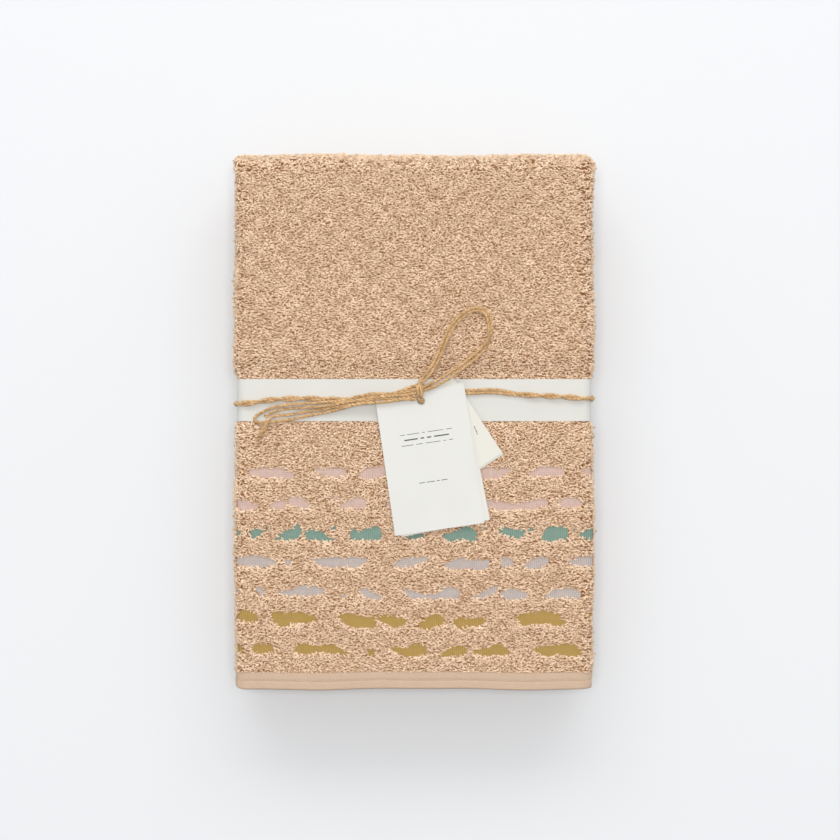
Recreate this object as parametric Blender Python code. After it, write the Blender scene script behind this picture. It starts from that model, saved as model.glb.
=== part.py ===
"""A gift-tied bath towel set: two folded terry towels, a paper belly band, jute twine and hang tags.

Frame: +Z up, +X across the folded stack, +Y away from the hem end. The origin is on the ground under the middle
of the folded stack. All lengths are in metres.
"""

import math

import bmesh
import bpy
import numpy as np
from mathutils import Matrix, Vector

MM = 0.001

# Terry cloth and the way that a folded strip of it is built up.
CLOTH = 2.6 * MM
CLOTH_GAP = 0.4 * MM

# Bath towel: both long sides folded to the middle, doubled, then halved twice along its length.
BATH_HALF_WIDTH = 126 * MM
BATH_HALF_LENGTH = 188 * MM
BATH_PLIES = 4
BATH_TURN = 6.5 * MM
SECOND_HEM_SETBACK = 2 * MM

# Hand towel: doubled across, then folded in three along its length.
HAND_HALF_WIDTH = 124 * MM
HAND_HALF_LENGTH = 166.5 * MM
HAND_PLIES = 2
HAND_TURN = 3.4 * MM
TUCKED_HEM_SETBACK = 4 * MM

# Shape that the tied stack takes.
SHOULDER = 7 * MM
WAIST_Y = 15 * MM
WAIST_PRESS = 2.5 * MM
WAIST_GROOVE = 4.2 * MM
WAIST_PINCH = 2 * MM
WAIST_EASE = 15 * MM

# Paper belly band.
BAND_WIDTH = 29.5 * MM
BAND_PAPER = 0.25 * MM
BAND_OVERLAP = 24 * MM
BAND_CORNER = 6.3 * MM

# Jute twine. Routes below are lists of (x, y, height of the strand's middle over the band's top face), in mm.
TWINE = 2.0 * MM
TAG_TWINE = 1.8 * MM
TWINE_STEP = 4.5 * MM
CLEARANCE = 0.3 * MM

KNOT_AT = (4.2 * MM, 21.6 * MM)
KNOT_RADII = (3.3 * MM, 4.8 * MM, 2.8 * MM)
KNOT_STEM_AT = (4.2, 24.6)
KNOT_STEM_RADIUS = 1.3 * MM

WRAP_GAP = 0.5 * MM
WRAP_LEFT = [
    (2.3, 25.7), (-4, 23.6), (-12, 20.6), (-20, 18.6), (-28, 17.4), (-41, 16.7),
    (-55, 16.6), (-69, 17.2), (-83, 17.3), (-98, 16.6), (-110, 14.9), (-117, 13.8),
]
WRAP_RIGHT = [
    (6.1, 25.7), (12, 24.4), (20, 23.1), (37, 22.0), (56, 22.4), (74, 20.2), (91, 19.3), (107, 18.4), (117, 17.4),
]
BOW_OUTER = [
    (3.4, 27.3, 8.2), (6, 30.6, 7.7), (10.2, 36, 7.0), (14.8, 44, 6.2), (19.3, 55, 4.6), (24.5, 65.8, 3.5),
    (31.5, 74.2, 3.3), (37.8, 78.6, 3.3), (44.1, 80.3, 3.3), (50, 78.4, 3.3), (53.8, 73.2, 3.3),
    (54.6, 65.5, 4.2), (52.6, 58.8, 6.0), (48.2, 52.6, 5.0), (40.6, 45.4, 4.8), (32.9, 39.4, 6.1),
    (22.4, 32.4, 6.8), (14, 27.8, 6.9), (8.1, 24.7, 6.9),
]
BOW_INNER = [
    (5.9, 26.8, 8.2), (8.7, 29.8, 7.7), (12.8, 35.2, 7.0), (17.3, 43, 6.2), (21.8, 54, 4.6), (26.7, 64.3, 3.5),
    (33, 72.1, 3.3), (38.8, 76.1, 3.3), (44, 77.6, 3.3), (48.5, 76.2, 3.3), (51.2, 72, 3.3),
    (52.1, 65.6, 3.3), (52.1, 60, 3.3), (51, 54, 3.3), (47.4, 48.2, 3.5), (42, 43.1, 4.4), (34.4, 37.2, 6.0),
    (23.9, 30.0, 6.7), (15.8, 25.3, 6.8), (8.4, 21.9, 6.9),
]
LEFT_LOOP = [
    (0.2, 22.6, 7.6), (-6, 21.2, 6.9), (-14, 20.5, 6.4), (-20, 21.2, 6.3), (-25, 21.9, 6.2), (-31, 21.2, 6.2),
    (-36, 19.6, 5.7), (-42, 17.3, 5.0), (-50, 15.3, 4.2), (-58, 14.1, 3.7), (-70, 12.9, 3.6), (-83, 12.3, 3.5),
    (-91, 11.5, 3.2), (-97, 10.2, 2.4), (-103, 8.2, 1.6), (-108, 5.6, 1.4), (-111.4, 3.0, 1.4), (-111.6, 0.9, 1.3),
    (-109, -0.5, 1.3), (-104, -0.7, 1.3), (-96, 0.2, 1.3), (-86, 1.5, 1.3), (-76, 3.8, 1.3), (-64, 6.0, 1.5),
    (-52, 7.9, 2.7), (-42, 9.8, 4.5), (-34, 11.7, 6.1), (-24, 12.7, 6.2), (-14, 13.1, 6.2), (-5, 14.0, 6.3),
    (2.0, 15.8, 6.4),
]
UPPER_END = [
    (-0.1, 20.3, 7.0), (-7, 18.8, 6.4), (-14, 18.0, 6.2), (-24, 17.6, 6.2), (-34, 16.7, 6.1), (-42, 14.8, 5.3),
    (-50, 12.8, 4.3), (-58, 11.5, 3.7), (-70, 10.2, 2.9), (-83, 9.4, 1.7), (-91, 8.8, 1.4), (-97, 7.2, 1.3),
    (-101, 5.4, 1.3), (-105, 3.6, 1.3),
]
LOWER_END = [
    (1.0, 18.0, 6.8), (-6, 16.5, 6.4), (-14, 15.6, 6.2), (-24, 15.2, 6.2), (-34, 14.2, 6.1), (-42, 12.3, 5.0),
    (-50, 10.5, 3.5), (-59, 9.3, 2.2), (-68, 8.1, 1.4), (-76, 6.8, 1.3), (-88, 4.7, 1.3), (-96, 4.1, 1.3),
    (-99.6, 3.0, 1.9), (-102.2, 0.9, 3.3), (-103.8, -2.0, 3.7), (-105, -5.6, 3.3), (-106.8, -9.2, 3.2),
    (-109.4, -12.2, 3.4),
]
TAG_LOOP = [
    (4.4, 16.2, 6.8), (4.7, 15.2, 6.3), (4.9, 14.3, 5.4), (4.9, 14.0, 4.3), (4.9, 14.0, 3.2), (4.85, 14.5, 2.2),
    (4.75, 15.7, 1.5), (4.6, 17.4, 1.3), (4.4, 19.8, 1.3), (4.4, 22.2, 1.3),
]

# Hang tags, all strung through one hole axis. Turns are degrees, counted from upright.
HOLE_AT = (4.9 * MM, 14.2 * MM)
TAG_FLOOR = TWINE + 2 * CLEARANCE
CARD_WIDTH = 63 * MM
CARD_HEIGHT = 98 * MM
CARD_BOARD = 0.4 * MM
CARD_HOLE = 5.8 * MM
CARD_MARGIN = 7.4 * MM
FRONT_CARD_TURN = 8.3
SECOND_CARD_TURN = 11.0
LEAFLET_WIDTH = 56 * MM
LEAFLET_HEIGHT = 67 * MM
LEAFLET_PAPER = 0.25 * MM
LEAFLET_HOLE = 4.6 * MM
LEAFLET_MARGIN = 4.5 * MM
LEAFLET_STEP = 1.2 * MM
LEAFLET_TURN = 33.0

BATH_STRIP = BATH_PLIES * CLOTH + (BATH_PLIES - 1) * CLOTH_GAP
HAND_STRIP = HAND_PLIES * CLOTH + (HAND_PLIES - 1) * CLOTH_GAP
BATH_PITCH = BATH_STRIP + CLOTH_GAP
HAND_PITCH = HAND_STRIP + CLOTH_GAP
BATH_BASE = 3 * HAND_PITCH
STACK_HEIGHT = BATH_BASE + 4 * BATH_PITCH - CLOTH_GAP
BAND_TOP = STACK_HEIGHT - WAIST_PRESS + CLEARANCE + BAND_PAPER


def remove_everything():
    for leftover in list(bpy.data.objects):
        bpy.data.objects.remove(leftover)


def finish_material(name, color, roughness):
    material = bpy.data.materials.new(name)
    material.use_nodes = True
    shader = material.node_tree.nodes["Principled BSDF"]
    shader.inputs["Base Color"].default_value = (*color, 1)
    shader.inputs["Roughness"].default_value = roughness
    shader.inputs["Metallic"].default_value = 0.0
    material.diffuse_color = (*color, 1)
    return material


def add_object(name, data, material):
    data.materials.append(material)
    part = bpy.data.objects.new(name, data)
    bpy.context.scene.collection.objects.link(part)
    return part


def smoothstep(value):
    value = min(max(value, 0.0), 1.0)
    return value * value * (3 - 2 * value)


def waist_amount(y):
    """1 under the belly band, easing to 0 on both sides of it."""
    past_band = abs(y - WAIST_Y) - BAND_WIDTH / 2 - CLEARANCE
    return 1 - smoothstep(past_band / WAIST_EASE)


def tied(point):
    """Moves a point of the square-cut stack to where the rounded, tied stack has it."""
    x, y, z = point
    middle = STACK_HEIGHT / 2
    into_shoulder = max(0.0, abs(z - middle) - (middle - SHOULDER))
    drawn_in = SHOULDER - math.sqrt(max(0.0, SHOULDER**2 - into_shoulder**2))
    amount = waist_amount(y)
    x *= 1 - (drawn_in + amount * WAIST_PINCH) / BATH_HALF_WIDTH
    z += amount * (WAIST_GROOVE - z * (WAIST_GROOVE + WAIST_PRESS) / STACK_HEIGHT)
    return Vector((x, y, z))


class FoldPath:
    """The middle line of a folded strip, seen along X, as stations of place and outward normal."""

    def __init__(self, y, z):
        self.y = y
        self.z = z
        self.heading = 0.0
        self.stations = []

    def mark(self):
        normal = (-math.sin(self.heading), math.cos(self.heading))
        self.stations.append((self.y, self.z, *normal))

    def run_to(self, y_end):
        """A straight run along Y, with stations close together where the stack is tied."""
        edge = BAND_WIDTH / 2 + CLEARANCE
        ease = [edge, edge + 0.3 * WAIST_EASE, edge + 0.55 * WAIST_EASE, edge + WAIST_EASE]
        marks = [WAIST_Y + side * step for step in ease for side in (-1, 1)]
        marks += [self.y + (y_end - self.y) * share for share in (0.0, 0.12, 0.3, 0.7, 0.88)]
        low, high = sorted((self.y, y_end))
        keep = sorted({y for y in marks if low <= y < high - MM or y == self.y}, reverse=y_end < self.y)
        for y in keep:
            if not self.stations or abs(y - self.stations[-1][0]) > 0.5 * MM:
                self.y = y
                self.mark()
        self.y = y_end
        self.mark()

    def drop_to(self, z_end):
        self.z = z_end
        self.mark()

    def turn(self, radius, quarters, side, steps=5):
        """Bends by quarters of a circle: side -1 turns down from +Y, side +1 turns up."""
        centre_y = self.y - side * radius * math.sin(self.heading)
        centre_z = self.z + side * radius * math.cos(self.heading)
        start = self.heading
        for step in range(1, steps * quarters + 1):
            self.heading = start + side * step * math.pi / 2 / steps
            self.y = centre_y + side * radius * math.sin(self.heading)
            self.z = centre_z - side * radius * math.cos(self.heading)
            self.mark()


def strip_outline(half_width, thickness, left_lobes, right_lobes, lobe_steps=4):
    """Cross-section of a folded strip: flat faces, and a round lobe for each fold along either side."""
    outline = []
    for sign, lobes in ((1, right_lobes), (-1, left_lobes)):
        radius = thickness / lobes / 2
        for lobe in range(lobes):
            centre = sign * (-thickness / 2 + (2 * lobe + 1) * radius)
            first = 0 if lobe == 0 else 1
            for step in range(first, lobe_steps + 1):
                angle = -math.pi / 2 + math.pi * step / lobe_steps
                out = half_width - radius + radius * math.cos(angle)
                outline.append((sign * out, centre + sign * radius * math.sin(angle)))
    return outline


def with_face_points(outline, half_width):
    """Adds points along the wide flat faces, so that the tied shape can bend them."""
    shares = (0.62, 0.0, -0.62)
    full = []
    for index, point in enumerate(outline):
        full.append(point)
        following = outline[(index + 1) % len(outline)]
        if point[0] * following[0] < 0 and abs(point[1] - following[1]) < 1e-9:
            side = 1 if point[0] > 0 else -1
            full += [(side * share * half_width, point[1]) for share in shares]
    return full


def sweep_strip(name, stations, outline, material):
    """One closed body: the outline carried along the fold path, closed at both hems."""
    mesh_edit = bmesh.new()
    rings = []
    for y, z, normal_y, normal_z in stations:
        ring = []
        for x, offset in outline:
            place = (x, y + offset * normal_y, z + offset * normal_z)
            ring.append(mesh_edit.verts.new(tied(place)))
        rings.append(ring)
    count = len(outline)
    for near, far in zip(rings, rings[1:]):
        for index in range(count):
            after = (index + 1) % count
            mesh_edit.faces.new((near[index], near[after], far[after], far[index]))
    for end in (rings[0], rings[-1]):
        mesh_edit.faces.new(end)
    bmesh.ops.recalc_face_normals(mesh_edit, faces=mesh_edit.faces)
    mesh = bpy.data.meshes.new(name)
    mesh_edit.to_mesh(mesh)
    mesh_edit.free()
    mesh.shade_smooth()
    mesh.set_sharp_from_angle(angle=math.radians(50))
    return add_object(name, mesh, material)


def make_bath_towel(material):
    """Hem end on top, the other hem under it, and the long middle folded round both."""
    level = [BATH_BASE + BATH_STRIP / 2 + index * BATH_PITCH for index in range(4)]
    half_pitch = BATH_PITCH / 2
    outer_y = BATH_HALF_LENGTH - BATH_STRIP / 2
    inner_bend_y = outer_y - BATH_STRIP / 2 - CLOTH_GAP - BATH_STRIP / 2 - half_pitch
    front_bend_y = -BATH_HALF_LENGTH + BATH_STRIP / 2 + half_pitch
    path = FoldPath(-BATH_HALF_LENGTH, level[3])
    path.run_to(outer_y - BATH_TURN)
    path.turn(BATH_TURN, 1, -1)
    path.drop_to(level[0] + BATH_TURN)
    path.turn(BATH_TURN, 1, -1)
    path.run_to(front_bend_y)
    path.turn(half_pitch, 2, -1)
    path.run_to(inner_bend_y)
    path.turn(half_pitch, 2, 1)
    path.run_to(-BATH_HALF_LENGTH + SECOND_HEM_SETBACK)
    outline = strip_outline(BATH_HALF_WIDTH, BATH_STRIP, left_lobes=2, right_lobes=1)
    return sweep_strip("bath_towel", path.stations, with_face_points(outline, BATH_HALF_WIDTH), material)


def make_hand_towel(material):
    """One hem tucked inside, the other on the ground side."""
    level = [HAND_STRIP / 2 + index * HAND_PITCH for index in range(3)]
    half_pitch = HAND_PITCH / 2
    back_bend_y = HAND_HALF_LENGTH - HAND_STRIP / 2 - half_pitch
    front_y = -HAND_HALF_LENGTH + HAND_STRIP / 2
    path = FoldPath(front_y + HAND_STRIP / 2 + TUCKED_HEM_SETBACK, level[1])
    path.run_to(back_bend_y)
    path.turn(half_pitch, 2, 1)
    path.run_to(front_y + HAND_TURN)
    path.turn(HAND_TURN, 1, 1)
    path.drop_to(level[0] + HAND_TURN)
    path.turn(HAND_TURN, 1, 1)
    path.run_to(HAND_HALF_LENGTH - TUCKED_HEM_SETBACK)
    outline = strip_outline(HAND_HALF_WIDTH, HAND_STRIP, left_lobes=1, right_lobes=2)
    return sweep_strip("hand_towel", path.stations, with_face_points(outline, HAND_HALF_WIDTH), material)


def ring_corners(half_width, low, high, radius, steps):
    """Round corners of a rectangle in XZ, anticlockwise seen from the front, from the lower right one."""
    centres = [
        (half_width - radius, low + radius, -90),
        (half_width - radius, high - radius, 0),
        (-half_width + radius, high - radius, 90),
        (-half_width + radius, low + radius, 180),
    ]
    corners = []
    for centre_x, centre_z, start in centres:
        angles = [math.radians(start + 90 * step / steps) for step in range(steps + 1)]
        corners.append([(centre_x + radius * math.cos(a), centre_z + radius * math.sin(a)) for a in angles])
    return corners


def make_belly_band(material):
    """A paper strip round the waist; its last stretch laps under its first, on the ground side."""
    grow = CLEARANCE + BAND_PAPER / 2
    half_width = BATH_HALF_WIDTH - WAIST_PINCH + grow
    low = WAIST_GROOVE - grow
    high = STACK_HEIGHT - WAIST_PRESS + grow
    corners = ring_corners(half_width, low, high, BAND_CORNER + BAND_PAPER / 2, steps=6)
    lap_step = BAND_PAPER + CLEARANCE
    line = [(-BAND_OVERLAP / 2, low), (BAND_OVERLAP / 2, low)]
    for corner in corners:
        line += corner
    line += [(-BAND_OVERLAP, low), (-BAND_OVERLAP * 0.75, low - lap_step), (BAND_OVERLAP / 2, low - lap_step)]
    mesh_edit = bmesh.new()
    rings = []
    for index, (x, z) in enumerate(line):
        before = line[max(index - 1, 0)]
        after = line[min(index + 1, len(line) - 1)]
        along = Vector((after[0] - before[0], after[1] - before[1])).normalized()
        across = Vector((along.y, -along.x)) * BAND_PAPER / 2
        ring = []
        for side_y, face in ((-1, -1), (1, -1), (1, 1), (-1, 1)):
            place = (x + face * across.x, WAIST_Y + side_y * BAND_WIDTH / 2, z + face * across.y)
            ring.append(mesh_edit.verts.new(place))
        rings.append(ring)
    for near, far in zip(rings, rings[1:]):
        for index in range(4):
            after = (index + 1) % 4
            mesh_edit.faces.new((near[index], near[after], far[after], far[index]))
    mesh_edit.faces.new(rings[0])
    mesh_edit.faces.new(rings[-1])
    bmesh.ops.recalc_face_normals(mesh_edit, faces=mesh_edit.faces)
    mesh = bpy.data.meshes.new("belly_band")
    mesh_edit.to_mesh(mesh)
    mesh_edit.free()
    mesh.shade_smooth()
    mesh.set_sharp_from_angle(angle=math.radians(40))
    return add_object("belly_band", mesh, material)


def spline_point(before, start, end, after, share):
    """Catmull-Rom point between start and end."""
    bend = (2 * before - 5 * start + 4 * end - after) * share**2
    twist = (3 * start - before - 3 * end + after) * share**3
    return 0.5 * (2 * start + (end - before) * share + bend + twist)


def smooth_route(points, step):
    """Points about one step apart on the smooth curve through the given ones."""
    given = [np.array(point, float) for point in points]
    padded = [2 * given[0] - given[1], *given, 2 * given[-1] - given[-2]]
    route = []
    for index in range(1, len(padded) - 2):
        before, start, end, after = padded[index - 1 : index + 3]
        pieces = max(1, round(float(np.linalg.norm(end - start)) / step))
        route += [spline_point(before, start, end, after, part / pieces) for part in range(pieces)]
    route.append(given[-1])
    return route


def over_band(points):
    """Route points in mm with heights over the band, as places in metres."""
    return [(x * MM, y * MM, BAND_TOP + lift * MM) for x, y, lift in points]


def make_strand(name, route, diameter, material):
    curve = bpy.data.curves.new(name, "CURVE")
    curve.dimensions = "3D"
    curve.bevel_depth = diameter / 2
    curve.bevel_resolution = 2
    curve.use_fill_caps = True
    spline = curve.splines.new("POLY")
    spline.points.add(len(route) - 1)
    for control, place in zip(spline.points, route):
        control.co = (*place, 1)
    return add_object(name, curve, material)


def make_wrap(name, shift, material):
    """One strand of the doubled wrap: from the knot over the left side, under the stack and back."""
    lift = TWINE / 2 + CLEARANCE
    grow = CLEARANCE + BAND_PAPER + CLEARANCE + TWINE / 2
    lap = BAND_PAPER + CLEARANCE
    half_width = BATH_HALF_WIDTH - WAIST_PINCH + grow
    low = WAIST_GROOVE - grow - lap
    corners = ring_corners(half_width, low, BAND_TOP + lift, BAND_CORNER + grow, steps=6)
    left = [(x, y + shift / MM, lift / MM) for x, y in WRAP_LEFT]
    right = [(x, y + shift / MM, lift / MM) for x, y in reversed(WRAP_RIGHT)]
    left_y = left[-1][1] * MM
    right_y = right[0][1] * MM
    route = smooth_route(over_band(left), 2 * TWINE_STEP)
    route += [(x, left_y, z) for x, z in corners[2] + corners[3]]
    for share in (0.2, 0.4, 0.6, 0.8):
        x = (2 * share - 1) * (half_width - BAND_CORNER - grow)
        route.append((x, left_y + (right_y - left_y) * share, low))
    route += [(x, right_y, z) for x, z in corners[0] + corners[1]]
    route += smooth_route(over_band(right), 2 * TWINE_STEP)
    return make_strand(name, route, TWINE, material)


def make_knot(material):
    """A pulled-tight lump over the tags' top margin, and the stem that grips the wraps behind it."""
    bpy.ops.mesh.primitive_uv_sphere_add(segments=20, ring_count=12, radius=1)
    knot = bpy.context.object
    knot.name = "twine_knot"
    tags_top = TAG_FLOOR + 2 * (LEAFLET_PAPER + CLEARANCE) + 2 * CARD_BOARD + CLEARANCE
    centre = Vector((*KNOT_AT, BAND_TOP + tags_top + CLEARANCE + KNOT_RADII[2]))
    knot.data.transform(Matrix.Translation(centre) @ Matrix.Diagonal((*KNOT_RADII, 1)))
    knot.data.materials.append(material)
    knot.data.shade_smooth()
    foot = BAND_TOP + CLEARANCE
    bpy.ops.mesh.primitive_cylinder_add(vertices=14, radius=KNOT_STEM_RADIUS, depth=centre.z - foot)
    stem = bpy.context.object
    stem.name = "knot_stem"
    stem_x, stem_y = KNOT_STEM_AT
    stem.data.transform(Matrix.Translation((stem_x * MM, stem_y * MM, (centre.z + foot) / 2)))
    stem.hide_render = True
    stem.display_type = "WIRE"
    union = knot.modifiers.new("stem", "BOOLEAN")
    union.operation = "UNION"
    union.object = stem
    return knot


def cut_hole(part, diameter, depth):
    """Punches the string hole on the hole axis, through the whole tag."""
    bpy.ops.mesh.primitive_cylinder_add(vertices=24, radius=diameter / 2, depth=depth)
    punch = bpy.context.object
    punch.name = part.name + "_punch"
    punch.location = (*HOLE_AT, BAND_TOP + TAG_FLOOR)
    punch.hide_render = True
    punch.display_type = "WIRE"
    cut = part.modifiers.new("string_hole", "BOOLEAN")
    cut.operation = "DIFFERENCE"
    cut.object = punch


def place_tag(part, turn):
    part.location = (*HOLE_AT, 0)
    part.rotation_euler = (0, 0, math.radians(turn))


def extrude_profile(name, profile, half_width, material):
    """A closed profile in YZ carried across X."""
    mesh_edit = bmesh.new()
    left = [mesh_edit.verts.new((-half_width, y, z)) for y, z in profile]
    right = [mesh_edit.verts.new((half_width, y, z)) for y, z in profile]
    count = len(profile)
    for index in range(count):
        after = (index + 1) % count
        mesh_edit.faces.new((left[index], left[after], right[after], right[index]))
    mesh_edit.faces.new(left)
    mesh_edit.faces.new(right)
    bmesh.ops.recalc_face_normals(mesh_edit, faces=mesh_edit.faces)
    mesh = bpy.data.meshes.new(name)
    mesh_edit.to_mesh(mesh)
    mesh_edit.free()
    return add_object(name, mesh, material)


def make_card(name, level, turn, material):
    """A flat hang tag at its level in the pile of tags, 0 being the lower card."""
    bottom = BAND_TOP + TAG_FLOOR + 2 * (LEAFLET_PAPER + CLEARANCE) + level * (CARD_BOARD + CLEARANCE)
    low = CARD_MARGIN - CARD_HEIGHT
    profile = [
        (low, bottom),
        (CARD_MARGIN, bottom),
        (CARD_MARGIN, bottom + CARD_BOARD),
        (low, bottom + CARD_BOARD),
    ]
    card = extrude_profile(name, profile, CARD_WIDTH / 2, material)
    place_tag(card, turn)
    cut_hole(card, CARD_HOLE, 10 * MM)
    return card


def make_leaflet(material):
    """One sheet folded at its top, with the upper leaf cut a little short."""
    bottom = BAND_TOP + TAG_FLOOR
    low = LEAFLET_MARGIN - LEAFLET_HEIGHT
    outer = LEAFLET_PAPER + CLEARANCE / 2
    inner = CLEARANCE / 2
    fold_y = LEAFLET_MARGIN - outer
    middle = bottom + outer
    angles = [math.radians(-90 + 30 * step) for step in range(7)]
    profile = [(low, bottom)]
    profile += [(fold_y + outer * math.cos(a), middle + outer * math.sin(a)) for a in angles]
    profile += [(low + LEAFLET_STEP, middle + outer), (low + LEAFLET_STEP, middle + inner)]
    profile += [(fold_y + inner * math.cos(a), middle + inner * math.sin(a)) for a in reversed(angles)]
    profile.append((low, middle - inner))
    leaflet = extrude_profile("leaflet", profile, LEAFLET_WIDTH / 2, material)
    place_tag(leaflet, LEAFLET_TURN)
    cut_hole(leaflet, LEAFLET_HOLE, 10 * MM)
    return leaflet


def build():
    remove_everything()
    terry = finish_material("terry", (0.62, 0.42, 0.27), 0.95)
    paper = finish_material("band_paper", (0.87, 0.86, 0.83), 0.75)
    board = finish_material("tag_board", (0.86, 0.84, 0.80), 0.8)
    jute = finish_material("jute", (0.56, 0.36, 0.15), 0.9)
    make_bath_towel(terry)
    make_hand_towel(terry)
    make_belly_band(paper)
    make_wrap("twine_wrap_back", 0.0, jute)
    make_wrap("twine_wrap_front", -(TWINE + WRAP_GAP), jute)
    make_knot(jute)
    routes = {
        "bow_loop_outer": BOW_OUTER,
        "bow_loop_inner": BOW_INNER,
        "left_loop": LEFT_LOOP,
        "upper_end": UPPER_END,
        "lower_end": LOWER_END,
    }
    for name, points in routes.items():
        make_strand(name, smooth_route(over_band(points), TWINE_STEP), TWINE, jute)
    make_strand("tag_loop", smooth_route(over_band(TAG_LOOP), TAG_TWINE / 2), TAG_TWINE, jute)
    make_card("second_card", 0, SECOND_CARD_TURN, board)
    make_card("front_card", 1, FRONT_CARD_TURN, board)
    make_leaflet(board)


build()
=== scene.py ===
import math
import bmesh
import bpy
import numpy as np
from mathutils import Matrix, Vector


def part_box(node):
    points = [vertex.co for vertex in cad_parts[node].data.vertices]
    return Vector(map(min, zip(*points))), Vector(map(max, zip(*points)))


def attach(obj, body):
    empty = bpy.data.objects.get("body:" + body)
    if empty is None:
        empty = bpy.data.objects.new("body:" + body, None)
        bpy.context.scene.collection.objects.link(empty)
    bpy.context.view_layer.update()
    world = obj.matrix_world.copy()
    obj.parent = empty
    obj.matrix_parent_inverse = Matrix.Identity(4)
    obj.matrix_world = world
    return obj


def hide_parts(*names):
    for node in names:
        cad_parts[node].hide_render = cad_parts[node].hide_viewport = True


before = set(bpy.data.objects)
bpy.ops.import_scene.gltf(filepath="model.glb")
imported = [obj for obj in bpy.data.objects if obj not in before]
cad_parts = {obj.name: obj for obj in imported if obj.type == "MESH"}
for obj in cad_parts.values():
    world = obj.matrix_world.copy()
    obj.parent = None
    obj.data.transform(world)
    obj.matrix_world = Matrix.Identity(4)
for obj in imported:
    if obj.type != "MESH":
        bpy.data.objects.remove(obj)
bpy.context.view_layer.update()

mm = 0.001
towelLow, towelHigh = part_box("bath_towel")
handLow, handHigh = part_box("hand_towel")
bandLow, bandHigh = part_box("belly_band")
stackTop = towelHigh.z
bandTop = bandHigh.z

# How the tied stack is pressed at the waist and rounded at its long edges.
stackShape = {
    "halfWidth": towelHigh.x,
    "shoulder": 7 * mm,
    "waistY": (bandLow.y + bandHigh.y) / 2,
    "waistHalf": (bandHigh.y - bandLow.y) / 2 + 0.3 * mm,
    "press": stackTop - bandTop + 0.55 * mm,
    "groove": 4.2 * mm,
    "pinch": 2 * mm,
    "ease": 15 * mm,
    "bulge": 5 * mm,
    "puff": 0.5 * mm,
    "ripple": 0.35 * mm,
    "edgeWander": 0.9 * mm,
    "backCorner": 7 * mm,
    "frontCorner": 2.5 * mm,
    "endsFrom": 150 * mm,
    "endsOver": 38 * mm,
    "calmOver": 60 * mm,
}


def smoothRamp(value):
    value = np.clip(value, 0, 1)
    return value * value * (3 - 2 * value)


def softRipple(x, y):
    # long, shallow waves that pressed terry keeps, in units of about -1 to 1
    wave = np.sin(x * 31 + 1.3 * np.sin(y * 17)) * np.cos(y * 23 + 0.8)
    return 0.6 * wave + 0.4 * np.sin(x * 57 - y * 41 + 2.1)


def tieDown(points):
    # square-cut stack to rounded, tied stack; near the frame's solids, which have no ripple, puff or bulge
    s = stackShape
    x, y, z = points[:, 0].copy(), points[:, 1].copy(), points[:, 2].copy()
    middle = stackTop / 2
    intoShoulder = np.clip(np.abs(z - middle) - (middle - s["shoulder"]), 0, s["shoulder"])
    drawnIn = s["shoulder"] - np.sqrt(s["shoulder"] ** 2 - intoShoulder**2)
    pastBand = np.abs(y - s["waistY"]) - s["waistHalf"]
    tied = 1 - smoothRamp(pastBand / s["ease"])
    upper = smoothRamp(z / stackTop * 2 - 1)
    corner = np.where(y > 0, s["backCorner"], s["frontCorner"])
    intoCorner = np.clip(np.abs(y) - (towelHigh.y - corner), 0, corner)
    rounded = corner - np.sqrt(corner**2 - intoCorner**2)
    sway = 0.7 * np.sin(y * 43 + z * 90) + 0.3 * np.sin(y * 131 - z * 60 + x * 9)
    wander = s["edgeWander"] * sway * (1 - tied)
    drawn = 1 - smoothRamp(pastBand / s["bulge"])
    x *= 1 - (drawnIn + rounded + drawn * s["pinch"] - wander) / s["halfWidth"]
    nearEnd = smoothRamp((np.abs(y) - s["endsFrom"]) / s["endsOver"])
    sway = 0.6 * np.sin(x * 38 + z * 70) + 0.3 * np.sin(x * 90 + 1) - 0.4
    y = y + np.sign(y) * nearEnd * s["edgeWander"] * sway
    puff = s["puff"] * np.exp(-(((pastBand - 0.8 * s["ease"]) / (0.6 * s["ease"])) ** 2))
    calm = 0.35 + 0.65 * smoothRamp((y - s["waistY"]) / s["calmOver"])
    z += tied * (s["groove"] - z * (s["groove"] + s["press"]) / stackTop)
    z += upper * (1 - tied) * calm * (puff + s["ripple"] * (softRipple(x, y) - 0.5))
    return np.stack([x, y, z], 1)


def traceFold(start, heading, moves, bendSteps=8):
    # the middle line of a folded cloth, as arc length, place and left-hand normal
    place, angle = np.array(start, float), heading
    places, angles = [place.copy()], [angle]
    for kind, amount, *bend in moves:
        if kind == "run":
            place = place + amount * np.array([math.cos(angle), math.sin(angle)])
            places.append(place.copy())
            angles.append(angle)
        else:
            quarters, side = bend
            centre = place + side * amount * np.array([-math.sin(angle), math.cos(angle)])
            for step in range(quarters * bendSteps):
                angle += side * math.pi / 2 / bendSteps
                place = centre + side * amount * np.array([math.sin(angle), -math.cos(angle)])
                places.append(place.copy())
                angles.append(angle)
    places, angles = np.array(places), np.array(angles)
    arc = np.concatenate([[0], np.cumsum(np.linalg.norm(np.diff(places, axis=0), axis=1))])
    return {"arc": arc, "place": places, "normal": np.stack([-np.sin(angles), np.cos(angles)], 1)}


def foldAt(line, arc):
    place = np.stack([np.interp(arc, line["arc"], line["place"][:, axis]) for axis in (0, 1)], 1)
    normal = np.stack([np.interp(arc, line["arc"], line["normal"][:, axis]) for axis in (0, 1)], 1)
    return place, normal / np.linalg.norm(normal, axis=1, keepdims=True)


def clothPoint(towel, u, v, offset):
    # u runs across the flat cloth and v along it; offset is towards its outer face
    across, acrossNormal = foldAt(towel["widthLine"], u)
    across = across + acrossNormal * np.reshape(offset, (-1, 1))
    along, alongNormal = foldAt(towel["lengthLine"], v)
    yz = along + alongNormal * across[:, 1:2]
    return tieDown(np.column_stack([across[:, 0], yz]))


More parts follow.
